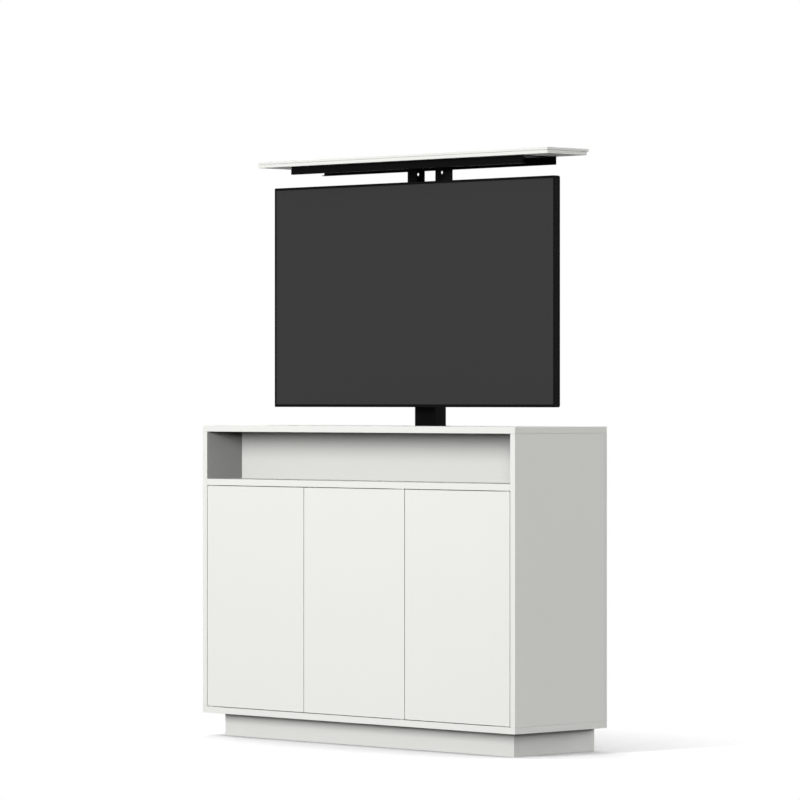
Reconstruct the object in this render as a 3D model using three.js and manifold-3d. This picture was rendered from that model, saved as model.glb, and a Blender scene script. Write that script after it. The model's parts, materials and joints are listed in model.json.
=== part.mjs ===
// A television lift cabinet, shown with the lift raised.
// All lengths are in millimetres.
// X runs to the right seen from the front, Y runs to the back and Z runs up.
// The origin is on the floor, in the middle of the cabinet.

import * as THREE from 'three';
import { mergeVertices } from 'three/addons/utils/BufferGeometryUtils.js';
import Module from 'manifold-3d';

const wasm = await Module();
wasm.setup();

// Cabinet case
const cabinetWidth = 1250;
const cabinetDepth = 364;
const cabinetHeight = 894;
const boardThickness = 18;
const backThickness = 10;
const nicheHeight = 136;
const dividerPlaceShare = 0.55;
const seatGap = 0.25;
const overrun = 5;

// Plinth
const plinthHeight = 66;
const plinthFrontInset = 44.5;
const plinthSideInset = 47;
const cornerBlockLeg = 44;
const cornerBlockHeight = 48;

// Doors and their pivots
const doorThickness = 18;
const doorGap = 2;
const pivotInset = 12;
const pivotSetback = 5;
const pivotPinRadius = 2;
const pivotFit = 0.15;
const pivotPinReach = 6;
const pivotBlindGap = 2;
const leafLength = 44;
const leafWidth = 10;
const leafThickness = 3;
const leafEnd = 7;
const leafFrontMargin = 3;
const leafScrewRadius = 2;
const leafScrewPlace = 17;
const leafScrewSpacing = 13;
const washerRadius = 4;
const washerHeight = 1.5;

// Partitions, shelves and shelf pins
const partitionSetback = 24;
const shelfThickness = 16;
const shelfHeight = 316;
const shelfSetback = 28;
const shelfGap = 2;
const shelfPinRadius = 2.5;
const shelfPinFit = 0.25;
const shelfPinDepth = 8;
const shelfPinReach = 9;
const shelfPinInset = 22;
const shelfHoleSpacing = 64;

// Push latches
const latchInset = 40;
const latchSetback = 24;
const latchLength = 62;
const latchWidth = 17;
const latchHeight = 17;
const latchCorner = 4;
const latchFlangeWidth = 34;
const latchFlangeThickness = 2.5;
const plungerRadius = 3;
const plungerFit = 0.25;
const plungerStem = 30;
const plungerHeadRadius = 4.5;
const plungerHeadLength = 3;
const plungerTipGap = 0.5;
const plungerBlindLength = 8;

// Back panel with its service cover and cable outlet
const serviceWidth = 480;
const serviceHeight = 500;
const serviceBottom = 60;
const serviceRebate = 14;
const serviceCorner = 12;
const coverThickness = 5;
const coverGap = 1.5;
const ventCount = 9;
const ventPitch = 16;
const ventLength = 150;
const ventWidth = 6;
const ventTopInset = 60;
const outletRadius = 30;
const outletInset = 205;
const outletHeight = 90;
const grommetWall = 4;
const grommetLip = 6;
const grommetLipThickness = 2;
const railHeight = 100;
const railDrop = 96;

// Lid
const lidEndInset = 46.5;
const lidDepth = 166;
const lidBackInset = 23;
const lidGap = 2;
const lidCoverThickness = 8;
const lidBaseThickness = 9.25;
const lidBaseStep = 7.5;

// Lift travel and telescopic column
const liftTravel = 764;
const columnBackInset = 60.75;
const middleWidth = 80;
const middleDepth = 50;
const middleCorner = 5;
const stageSpace = 6;
const columnWall = 3;
const stageCornerStep = 3;
const stageEndGap = 7.75;
const guideHeight = 10;
const guideFit = 0.5;
const middleGuideHeight = 6;
const shoeHeight = 22;
const shoeInset = 4;
const crossheadClearance = 2;
const outerTopClearance = 6;

// Foot plate, drive and controls
const footWidth = 240;
const footDepth = 150;
const footThickness = 6;
const footCorner = 10;
const footFrontOffset = 108;
const footBoltInset = 16;
const boltRadius = 3;
const boltFit = 0.5;
const boltHeadRadius = 6.5;
const boltHeadHeight = 4;
const footBoltLength = 16;
const gearWidth = 92;
const gearDepth = 58;
const gearHeight = 58;
const gearCorner = 9;
const gearClearance = 4;
const gearBossRadius = 18;
const gearRibWidth = 6;
const gearRibCount = 5;
const gearRibDepth = 3;
const motorRadius = 27;
const motorLength = 104;
const motorNeckRadius = 19;
const motorNeckLength = 10;
const motorCapRadius = 24;
const motorCapLength = 9;
const motorHeight = 31;
const controlWidth = 180;
const controlHeight = 110;
const controlDepth = 38;
const controlCorner = 6;
const controlPlace = 300;
const controlBottom = 150;
const inletWidth = 28;
const inletHeight = 20;
const inletDepth = 14;
const bracketLeg = 40;
const bracketHeight = 76;
const bracketThickness = 3;
const bracketDrop = 22;

// Carriage: crosshead, hanger, television arms, uprights and lid carrier
const carrierEndInset = 114.5;
const carrierFrontInset = 23;
const carrierBackInset = 9;
const carrierHeight = 22;
const carrierSheet = 2;
const carrierLip = 11;
const uprightOuterPlace = 72.25;
const uprightFlange = 33.25;
const uprightFrontSet = 19.75;
const uprightDepth = 36.5;
const uprightSheet = 3;
const uprightHoleRadius = 4.5;
const uprightHoleInset = 7.75;
const uprightHoleDrop = 31;
const crossheadDrop = 96;
const crossheadThickness = 6;
const crossheadWidth = 240;
const crossheadBackReach = 26;
const crossheadFlange = 56;
const crossheadSheet = 4;
const gussetPlace = 96;
const gussetThickness = 4;
const gussetReach = 46;
const gussetTip = 8;
const columnClearance = 1.5;
const hangerWidth = 470;
const hangerHeight = 430;
const hangerSheet = 4;
const hangerCorner = 14;
const hangerSpine = 120;
const hangerRail = 64;
const hangerSlotWidth = 9;
const hangerSlotLength = 60;
const hangerBoltRow = 28;
const hangerBoltSpacing = 80;
const armPlace = 200;
const armWidth = 32;
const armLength = 400;
const armDepth = 8;
const armSheet = 2.5;
const armDrop = 24;
const vesaHeight = 300;

// Television
const tvWidth = 1120;
const tvHeight = 635.5;
const tvDrop = 75.75;
const tvCorner = 3;
const bezelDepth = 14;
const bezelSide = 5;
const bezelTop = 7;
const bezelBottom = 8;
const bezelWall = 2.25;
const bezelLip = 1.25;
const shellDepth = 11.25;
const shellBevel = 3;
const bulgeWidth = 860;
const bulgeHeight = 400;
const bulgeBottom = 40;
const bulgeDepth = 5.75;
const bulgeSlope = 24;
const bossRadius = 11;
const bossHoleRadius = 5;
const bossHoleDepth = 12;
const portBayInset = 130;
const portBayWidth = 30;
const portBayHeight = 150;
const portBayDepth = 9;
const portBayCorner = 3;
const shellVentCount = 25;
const shellVentPitch = 26;
const shellVentWidth = 5;
const shellVentLength = 40;
const shellVentDepth = 2.5;
const shellVentDrop = 40;

// Lid screws
const lidScrewCount = 8;
const lidScrewRadius = 2;
const lidScrewHead = 4.5;
const lidScrewHeadHeight = 2.5;
const lidScrewLength = 10;
const lidScrewEndInset = 34;
const lidScrewRowShares = [0.3, 0.7];

// Numbers of sides of round shapes
const smallSides = 10;
const pinSides = 16;
const largeSides = 32;
const cornerSteps = 2;

// Places that follow from the sizes above
const front = -cabinetDepth / 2;
const back = cabinetDepth / 2;
const caseFloor = plinthHeight + boardThickness;
const caseCeiling = cabinetHeight - boardThickness;
const innerWidth = cabinetWidth - 2 * boardThickness;
const innerHeight = caseCeiling - caseFloor - 2 * seatGap;
const innerBack = back - backThickness;
const nicheFloorUnder = caseCeiling - nicheHeight - boardThickness;
const columnCentre = back - columnBackInset;
const latchBack = front + latchSetback + latchLength;
const liftFront = columnCentre - footFrontOffset;
const dividerFront = latchBack + dividerPlaceShare * (liftFront - boardThickness - latchBack);
const dividerBack = dividerFront + boardThickness;
const nicheDepth = dividerFront - front;
const doorCount = 3;
const doorPitch = (innerWidth - doorGap) / doorCount;
const doorWidth = doorPitch - doorGap;
const doorHeight = nicheFloorUnder - caseFloor - 2 * doorGap;
const partitionPlace = doorPitch / 2;

const lidLength = cabinetWidth - 2 * lidEndInset;
const lidThickness = lidCoverThickness + seatGap + lidBaseThickness;
const lidFront = back - lidBackInset - lidDepth;
const lidBaseDepth = lidDepth - lidBaseStep;
const openingLength = lidLength + 2 * lidGap;
const openingFront = lidFront - lidGap;

const outerWidth = middleWidth + 2 * stageSpace;
const outerDepth = middleDepth + 2 * stageSpace;
const outerCorner = middleCorner + stageCornerStep;
const innerColumnWidth = middleWidth - 2 * stageSpace;
const innerColumnDepth = middleDepth - 2 * stageSpace;
const innerColumnCorner = middleCorner - stageCornerStep;
const columnFront = columnCentre - outerDepth / 2;
const stageTravel = liftTravel / 2;

const carrierTop = -lidThickness - seatGap;
const carrierWebUnder = carrierTop - carrierSheet;
const crossheadTop = -crossheadDrop;
const crossheadUnder = crossheadTop - crossheadThickness;
const loweredCrosshead = cabinetHeight + crossheadUnder;
const footTop = caseFloor + seatGap + footThickness;
const stageBottom = footTop + stageEndGap;
const middleLength = loweredCrosshead - crossheadClearance - stageBottom;
const outerTop = loweredCrosshead - outerTopClearance;

const flangeBack = columnFront - columnClearance;
const hangerBack = flangeBack - crossheadSheet - seatGap;
const armBack = hangerBack - hangerSheet - seatGap;
const tvBack = armBack - armDepth - seatGap;
const tvFront = tvBack - bulgeDepth - shellDepth - seatGap - bezelDepth;
const tvTop = -tvDrop;
const tvBottom = tvTop - tvHeight;
const hangerTop = crossheadUnder - seatGap;

// Finishes
const whiteLacquer = { color: 0xecece7, roughness: 0.5, metalness: 0 };
const whiteBack = { color: 0xe2e2dc, roughness: 0.65, metalness: 0 };
const blackSteel = { color: 0x141414, roughness: 0.5, metalness: 0.6 };
const zincSteel = { color: 0xb4b6b8, roughness: 0.35, metalness: 0.9 };
const blackPlastic = { color: 0x1b1b1c, roughness: 0.6, metalness: 0 };
const greyPlastic = { color: 0x8d9093, roughness: 0.55, metalness: 0 };
const glassScreen = { color: 0x3d3d3d, roughness: 0.25, metalness: 0 };

const toRight = new THREE.Vector3(1, 0, 0);
const toLeft = new THREE.Vector3(-1, 0, 0);
const toBack = new THREE.Vector3(0, 1, 0);
const toFront = new THREE.Vector3(0, -1, 0);
const upward = new THREE.Vector3(0, 0, 1);
const downward = new THREE.Vector3(0, 0, -1);

function solidOf(geometry) {
  const bare = geometry.clone();
  bare.deleteAttribute('normal');
  bare.deleteAttribute('uv');
  const merged = mergeVertices(bare);
  const mesh = new wasm.Mesh({
    numProp: 3,
    vertProperties: new Float32Array(merged.attributes.position.array),
    triVerts: new Uint32Array(merged.index.array),
  });
  return new wasm.Manifold(mesh);
}

function geometryOf(solid) {
  const mesh = solid.getMesh();
  const geometry = new THREE.BufferGeometry();
  geometry.setAttribute('position', new THREE.BufferAttribute(mesh.vertProperties, 3));
  geometry.setIndex(new THREE.BufferAttribute(mesh.triVerts, 1));
  geometry.computeVertexNormals();
  return geometry;
}

function cut(geometry, tools) {
  return geometryOf(tools.reduce((solid, tool) => solid.subtract(solidOf(tool)), solidOf(geometry)));
}

function join(geometries) {
  return geometryOf(geometries.map(solidOf).reduce((solid, other) => solid.add(other)));
}

// A board centred in X, with its front face at Y zero and its underside at Z zero
function slab(width, depth, height) {
  const geometry = new THREE.BoxGeometry(width, depth, height);
  geometry.translate(0, depth / 2, height / 2);
  return geometry;
}

function moved(geometry, x, y, z) {
  geometry.translate(x, y, z);
  return geometry;
}

// A geometry built along Y, turned so that it runs along a direction
function turnedTo(geometry, direction) {
  geometry.applyQuaternion(new THREE.Quaternion().setFromUnitVectors(toBack, direction));
  return geometry;
}

// A round bar from the origin along a direction
function rod(radius, length, direction, sides) {
  const geometry = new THREE.CylinderGeometry(radius, radius, length, sides);
  geometry.translate(0, length / 2, 0);
  return turnedTo(geometry, direction);
}

// A turned piece, from pairs of radius and distance along a direction
function turned(profile, direction, sides) {
  const points = profile.map(([radius, along]) => new THREE.Vector2(radius, along));
  return turnedTo(new THREE.LatheGeometry(points, sides), direction);
}

// A rectangle with round corners about a centre, drawn into a shape or a hole
function roundedRectangle(path, centreX, centreY, width, height, radius) {
  const left = centreX - width / 2;
  const right = centreX + width / 2;
  const low = centreY - height / 2;
  const high = centreY + height / 2;
  path.moveTo(left + radius, low);
  path.lineTo(right - radius, low);
  path.absarc(right - radius, low + radius, radius, -Math.PI / 2, 0, false);
  path.lineTo(right, high - radius);
  path.absarc(right - radius, high - radius, radius, 0, Math.PI / 2, false);
  path.lineTo(left + radius, high);
  path.absarc(left + radius, high - radius, radius, Math.PI / 2, Math.PI, false);
  path.lineTo(left, low + radius);
  path.absarc(left + radius, low + radius, radius, Math.PI, 1.5 * Math.PI, false);
  return path;
}

function roundHole(x, y, radius) {
  return roundedRectangle(new THREE.Path(), x, y, 2 * radius, 2 * radius, radius);
}

function extruded(shape, depth, steps) {
  return new THREE.ExtrudeGeometry(shape, { depth, bevelEnabled: false, curveSegments: steps });
}

// A plate drawn in X and Z whose front face is at Y zero
function standingPlate(shape, thickness, steps) {
  const geometry = extruded(shape, thickness, steps);
  geometry.rotateX(Math.PI / 2);
  geometry.translate(0, thickness, 0);
  return geometry;
}

// A profile drawn in Y and Z, run along X from zero
function profileAlongX(shape, length, steps) {
  const geometry = extruded(shape, length, steps);
  geometry.applyMatrix4(new THREE.Matrix4().makeBasis(toBack, upward, toRight));
  return geometry;
}

function shapeOf(points) {
  return new THREE.Shape(points.map(([x, y]) => new THREE.Vector2(x, y)));
}

function addPiece(group, name, geometry, finish, x, y, z) {
  const mesh = new THREE.Mesh(geometry, new THREE.MeshStandardMaterial(finish));
  mesh.name = name;
  mesh.position.set(x, y, z);
  group.add(mesh);
}

// The three doors: the left and middle doors open as a pair, the right door opens by itself
const doors = [
  { label: 'left', centre: -doorPitch, hand: 1 },
  { label: 'middle', centre: 0, hand: -1 },
  { label: 'right', centre: doorPitch, hand: -1 },
];

function pivotX(door) {
  return door.centre - door.hand * (doorWidth / 2 - pivotInset);
}

function latchX(door) {
  return door.centre + door.hand * (doorWidth / 2 - latchInset);
}

const pivotY = front + pivotSetback;

// The outline of a pivot leaf seen from above, with the pin at the origin
function leafShape(hand, growth) {
  const shape = new THREE.Shape();
  const centreX = hand * (leafLength / 2 - leafEnd);
  const centreY = leafWidth / 2 - leafFrontMargin;
  const width = leafLength + 2 * growth;
  const height = leafWidth + 2 * growth;
  return roundedRectangle(shape, centreX, centreY, width, height, leafFrontMargin);
}

// A leaf with its pin, which stands along Z in the given direction
function pivotSolid(hand, direction) {
  const shape = leafShape(hand, 0);
  [0, 1].forEach((index) => {
    const place = leafScrewPlace + index * leafScrewSpacing;
    shape.holes.push(roundHole(hand * place, 0, leafScrewRadius));
  });
  const start = direction.z > 0 ? 0 : leafThickness;
  const pin = rod(pivotPinRadius, leafThickness + pivotPinReach, direction, pinSides);
  return join([extruded(shape, leafThickness, cornerSteps), moved(pin, 0, 0, start)]);
}

function leafPocket(hand) {
  return extruded(leafShape(hand, seatGap), leafThickness + seatGap + overrun, cornerSteps);
}

// A board with the fixed half of each door pivot: a raised washer and a bore for the pin
function withSockets(board, seatHeight, direction) {
  const boreDepth = pivotPinReach - doorGap + pivotBlindGap;
  const washers = doors.map((door) => moved(
    rod(washerRadius, washerHeight + seatGap, direction, pinSides),
    pivotX(door), pivotSetback, seatHeight - direction.z * seatGap,
  ));
  const bores = doors.map((door) => moved(
    rod(pivotPinRadius + pivotFit, boreDepth + doorGap, direction, pinSides),
    pivotX(door), pivotSetback, seatHeight - direction.z * boreDepth,
  ));
  return cut(join([board, ...washers]), bores);
}

const footBolts = [-1, 1].flatMap((side) => [
  [side * (footWidth / 2 - footBoltInset), liftFront + footBoltInset],
  [side * (footWidth / 2 - footBoltInset), liftFront + footDepth - footBoltInset],
]);

// Shelf pins: the bays between the sides and the partitions
const bays = [
  { label: 'left', low: -innerWidth / 2, high: -partitionPlace - boardThickness / 2 },
  { label: 'middle', low: -partitionPlace + boardThickness / 2, high: partitionPlace - boardThickness / 2 },
  { label: 'right', low: partitionPlace + boardThickness / 2, high: innerWidth / 2 },
];
const shelfFront = front + shelfSetback;
const shelfBack = dividerFront - shelfGap;
const shelfUnder = caseFloor + shelfHeight;
const shelfPinRows = [shelfFront + shelfPinInset, shelfBack - shelfPinInset];
const shelfPinCentre = shelfUnder - seatGap - shelfPinRadius;

// An upright board with rows of blind holes in a face, and shelf pins standing in the middle ones
function withShelfPins(board, faces, frontY, bottomZ) {
  const places = faces.flatMap((face) => shelfPinRows.map((row) => ({ ...face, row: row - frontY })));
  const level = shelfPinCentre - bottomZ;
  const holes = places.flatMap((place) => [-1, 1].map((step) => {
    const hole = rod(shelfPinRadius + shelfPinFit, overrun + shelfPinDepth, place.inward, smallSides);
    return moved(hole, place.x - place.inward.x * overrun, place.row, level + step * shelfHoleSpacing);
  }));
  const pins = places.map((place) => {
    const pin = rod(shelfPinRadius, shelfPinDepth + shelfPinReach, place.inward, smallSides);
    return moved(pin, place.x - place.inward.x * shelfPinReach, place.row, level);
  });
  return join([cut(board, holes), ...pins]);
}

function makeCase() {
  const group = new THREE.Group();
  const rebateDepth = lidCoverThickness + seatGap;
  const topBoard = cut(slab(cabinetWidth, cabinetDepth, boardThickness), [
    moved(
      slab(openingLength, lidBaseDepth + 2 * lidGap, boardThickness + 2 * overrun),
      0, openingFront - front, -overrun,
    ),
    moved(
      slab(openingLength, lidDepth + 2 * lidGap, rebateDepth + overrun),
      0, openingFront - front, boardThickness - rebateDepth,
    ),
  ]);
  addPiece(group, 'top_board', topBoard, whiteLacquer, 0, front, caseCeiling);

  const footHoles = footBolts.map(([x, y]) => {
    const hole = rod(boltRadius + boltFit, footBoltLength + overrun, downward, smallSides);
    return moved(hole, x, y - front, boardThickness + overrun);
  });
  const bottomBoard = cut(
    withSockets(slab(cabinetWidth, cabinetDepth, boardThickness), boardThickness, upward),
    footHoles,
  );
  addPiece(group, 'bottom_board', bottomBoard, whiteLacquer, 0, front, plinthHeight);

  const sideDepth = cabinetDepth - backThickness - seatGap;
  const sideBottom = caseFloor + seatGap;
  const sidePlace = (cabinetWidth - boardThickness) / 2;
  const rightFace = { x: boardThickness / 2, inward: toLeft };
  const leftFace = { x: -boardThickness / 2, inward: toRight };
  const sides = [['left_side', -sidePlace, rightFace], ['right_side', sidePlace, leftFace]];
  sides.forEach(([name, place, face]) => {
    const board = slab(boardThickness, sideDepth, innerHeight);
    const side = withShelfPins(board, [face], front, sideBottom);
    addPiece(group, name, side, whiteLacquer, place, front, sideBottom);
  });

  const fittedWidth = innerWidth - 2 * seatGap;
  const nicheFloor = withSockets(slab(fittedWidth, nicheDepth - seatGap, boardThickness), 0, downward);
  addPiece(group, 'niche_floor', nicheFloor, whiteLacquer, 0, front, nicheFloorUnder);
  addPiece(group, 'shaft_divider', slab(fittedWidth, boardThickness, innerHeight), whiteLacquer,
    0, dividerFront, sideBottom);

  const partitionFront = front + partitionSetback;
  const partitionDepth = dividerFront - seatGap - partitionFront;
  const partitionHeight = nicheFloorUnder - caseFloor - 2 * seatGap;
  [['left_partition', -partitionPlace], ['right_partition', partitionPlace]].forEach(([name, place]) => {
    const board = slab(boardThickness, partitionDepth, partitionHeight);
    const partition = withShelfPins(board, [leftFace, rightFace], partitionFront, sideBottom);
    addPiece(group, name, partition, whiteLacquer, place, partitionFront, sideBottom);
  });

  bays.forEach((bay) => {
    const width = bay.high - bay.low - 2 * shelfGap;
    addPiece(group, `${bay.label}_shelf`, slab(width, shelfBack - shelfFront, shelfThickness), whiteLacquer,
      (bay.low + bay.high) / 2, shelfFront, shelfUnder);
  });
  return group;
}

function makePlinth() {
  const group = new THREE.Group();
  const width = cabinetWidth - 2 * plinthSideInset;
  const height = plinthHeight - seatGap;
  const frontY = front + plinthFrontInset;
  const rearY = back - boardThickness;
  const sideDepth = rearY - frontY - boardThickness - 2 * seatGap;
  const sidePlace = (width - boardThickness) / 2;
  const sideY = frontY + boardThickness + seatGap;
  addPiece(group, 'plinth_front', slab(width, boardThickness, height), whiteLacquer, 0, frontY, 0);
  addPiece(group, 'plinth_rear', slab(width, boardThickness, height), whiteLacquer, 0, rearY, 0);
  [['plinth_left', -1], ['plinth_right', 1]].forEach(([name, side]) => {
    const inner = -side * boardThickness / 2;
    const blocks = [[0, 1], [sideDepth, -1]].map(([y, inward]) => extruded(shapeOf([
      [0, y],
      [inner, y],
      [inner - side * cornerBlockLeg, y],
      [inner, y + inward * cornerBlockLeg],
      [0, y + inward * cornerBlockLeg],
    ]), cornerBlockHeight, cornerSteps));
    const raised = blocks.map((block) => moved(block, 0, 0, height - cornerBlockHeight));
    const board = join([slab(boardThickness, sideDepth, height), ...raised]);
    addPiece(group, name, board, whiteLacquer, side * sidePlace, sideY, 0);
  });
  return group;
}

// Back panel with a rebated service opening, the removable cover and the cable outlet
function makeBack() {
  const group = new THREE.Group();
  const bottom = caseFloor + seatGap;
  const outletPlace = cabinetWidth / 2 - outletInset;
  const serviceCentre = serviceBottom + serviceHeight / 2;
  const throughShape = roundedRectangle(new THREE.Shape(), 0, serviceCentre,
    serviceWidth - 2 * serviceRebate, serviceHeight - 2 * serviceRebate, serviceCorner);
  const rebateShape = roundedRectangle(new THREE.Shape(), 0, serviceCentre,
    serviceWidth, serviceHeight, serviceCorner);
  const throughLength = backThickness + 2 * overrun;
  const outlet = rod(outletRadius, throughLength, toBack, largeSides);
  const panel = cut(slab(cabinetWidth, backThickness, innerHeight), [
    moved(standingPlate(throughShape, throughLength, cornerSteps), 0, -overrun, 0),
    moved(standingPlate(rebateShape, coverThickness + seatGap + overrun, cornerSteps),
      0, backThickness - coverThickness - seatGap, 0),
    moved(outlet, outletPlace, -overrun, outletHeight),
  ]);
  addPiece(group, 'back_panel', panel, whiteBack, 0, innerBack, bottom);

  const cover = roundedRectangle(new THREE.Shape(), 0, serviceCentre,
    serviceWidth - 2 * coverGap, serviceHeight - 2 * coverGap, serviceCorner - coverGap);
  const ventTop = serviceBottom + serviceHeight - ventTopInset;
  for (let row = 0; row < ventCount; row += 1) {
    const height = ventTop - row * ventPitch;
    cover.holes.push(roundedRectangle(new THREE.Path(), 0, height, ventLength, ventWidth, ventWidth / 2));
  }
  addPiece(group, 'service_cover', standingPlate(cover, coverThickness, cornerSteps), whiteBack,
    0, back - coverThickness, bottom);

  const tubeRadius = outletRadius - seatGap;
  const boreRadius = tubeRadius - grommetWall;
  const lipRadius = outletRadius + grommetLip;
  const grommet = turned([
    [boreRadius, -grommetLipThickness - seatGap],
    [lipRadius, -grommetLipThickness - seatGap],
    [lipRadius, -seatGap],
    [tubeRadius, -seatGap],
    [tubeRadius, backThickness],
    [boreRadius, backThickness],
    [boreRadius, -grommetLipThickness - seatGap],
  ], toBack, largeSides);
  addPiece(group, 'cable_grommet', grommet, blackPlastic, outletPlace, innerBack, bottom + outletHeight);

  addPiece(group, 'lift_rail', slab(innerWidth - 2 * seatGap, boardThickness, railHeight), whiteLacquer,
    0, innerBack - seatGap - boardThickness, caseCeiling - railDrop - railHeight);
  return group;
}

// A door hung on a pivot at each end of its outer edge, with the lower pin's axis at the group's origin
function makeDoor(door) {
  const group = new THREE.Group();
  group.position.set(pivotX(door), pivotY, caseFloor + doorGap);
  const centre = door.hand * (doorWidth / 2 - pivotInset);
  const panel = cut(moved(slab(doorWidth, doorThickness, doorHeight), centre, -pivotSetback, 0), [
    moved(leafPocket(door.hand), 0, 0, -overrun),
    moved(leafPocket(door.hand), 0, 0, doorHeight - leafThickness - seatGap),
  ]);
  addPiece(group, `${door.label}_door`, panel, whiteLacquer, 0, 0, 0);
  addPiece(group, `${door.label}_door_lower_pivot`, pivotSolid(door.hand, downward), zincSteel, 0, 0, 0);
  addPiece(group, `${door.label}_door_upper_pivot`, pivotSolid(door.hand, upward), zincSteel,
    0, 0, doorHeight - leafThickness);
  return group;
}

// Push latches under the niche floor: a hat profile with a bore, and a turned plunger in it
function makeLatches() {
  const group = new THREE.Group();
  const top = nicheFloorUnder - seatGap;
  const half = latchWidth / 2;
  const flangeHalf = latchFlangeWidth / 2;
  const low = -latchFlangeThickness - latchHeight;
  const outline = new THREE.Shape();
  outline.moveTo(-flangeHalf, 0);
  outline.lineTo(-flangeHalf, -latchFlangeThickness);
  outline.lineTo(-half, -latchFlangeThickness);
  outline.lineTo(-half, low + latchCorner);
  outline.absarc(-half + latchCorner, low + latchCorner, latchCorner, Math.PI, 1.5 * Math.PI, false);
  outline.lineTo(half - latchCorner, low);
  outline.absarc(half - latchCorner, low + latchCorner, latchCorner, 1.5 * Math.PI, 2 * Math.PI, false);
  outline.lineTo(half, -latchFlangeThickness);
  outline.lineTo(flangeHalf, -latchFlangeThickness);
  outline.lineTo(flangeHalf, 0);
  const level = -latchFlangeThickness - latchHeight / 2;
  const housingFront = front + latchSetback;
  const tip = front + doorThickness + plungerTipGap;
  const boreDepth = tip + plungerHeadLength + plungerStem + plungerBlindLength - housingFront;
  const plunger = [
    [0, 0],
    [plungerHeadRadius, 0],
    [plungerHeadRadius, plungerHeadLength],
    [plungerRadius, plungerHeadLength],
    [plungerRadius, plungerHeadLength + plungerStem],
    [0, plungerHeadLength + plungerStem],
  ];
  doors.forEach((door) => {
    const boreRadius = plungerRadius + plungerFit;
    const bore = moved(rod(boreRadius, boreDepth + overrun, toBack, pinSides), 0, -overrun, level);
    const housing = cut(standingPlate(outline, latchLength, cornerSteps), [bore]);
    addPiece(group, `${door.label}_latch_housing`, housing, greyPlastic, latchX(door), housingFront, top);
    addPiece(group, `${door.label}_latch_plunger`, turned(plunger, toBack, pinSides), blackPlastic,
      latchX(door), tip, top + level);
  });
  return group;
}

// A straight tube of rectangular section standing on Z zero
function columnTube(width, depth, corner, wall, length) {
  const shape = roundedRectangle(new THREE.Shape(), 0, 0, width, depth, corner);
  const insideCorner = Math.max(corner - wall, wall / 2);
  shape.holes.push(roundedRectangle(new THREE.Path(), 0, 0,
    width - 2 * wall, depth - 2 * wall, insideCorner));
  return extruded(shape, length, cornerSteps);
}

// A ring between two rectangular sections
function guideRing(outside, inside, corner, height) {
  const shape = roundedRectangle(new THREE.Shape(), 0, 0, outside[0], outside[1], corner);
  shape.holes.push(roundedRectangle(new THREE.Path(), 0, 0, inside[0], inside[1], corner / 2));
  return extruded(shape, height, cornerSteps);
}

function boltSolid(length, direction) {
  return turned([
    [0, -length],
    [boltRadius, -length],
    [boltRadius, 0],
    [boltHeadRadius, 0],
    [boltHeadRadius, boltHeadHeight],
    [0, boltHeadHeight],
  ], direction, smallSides);
}

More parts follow.
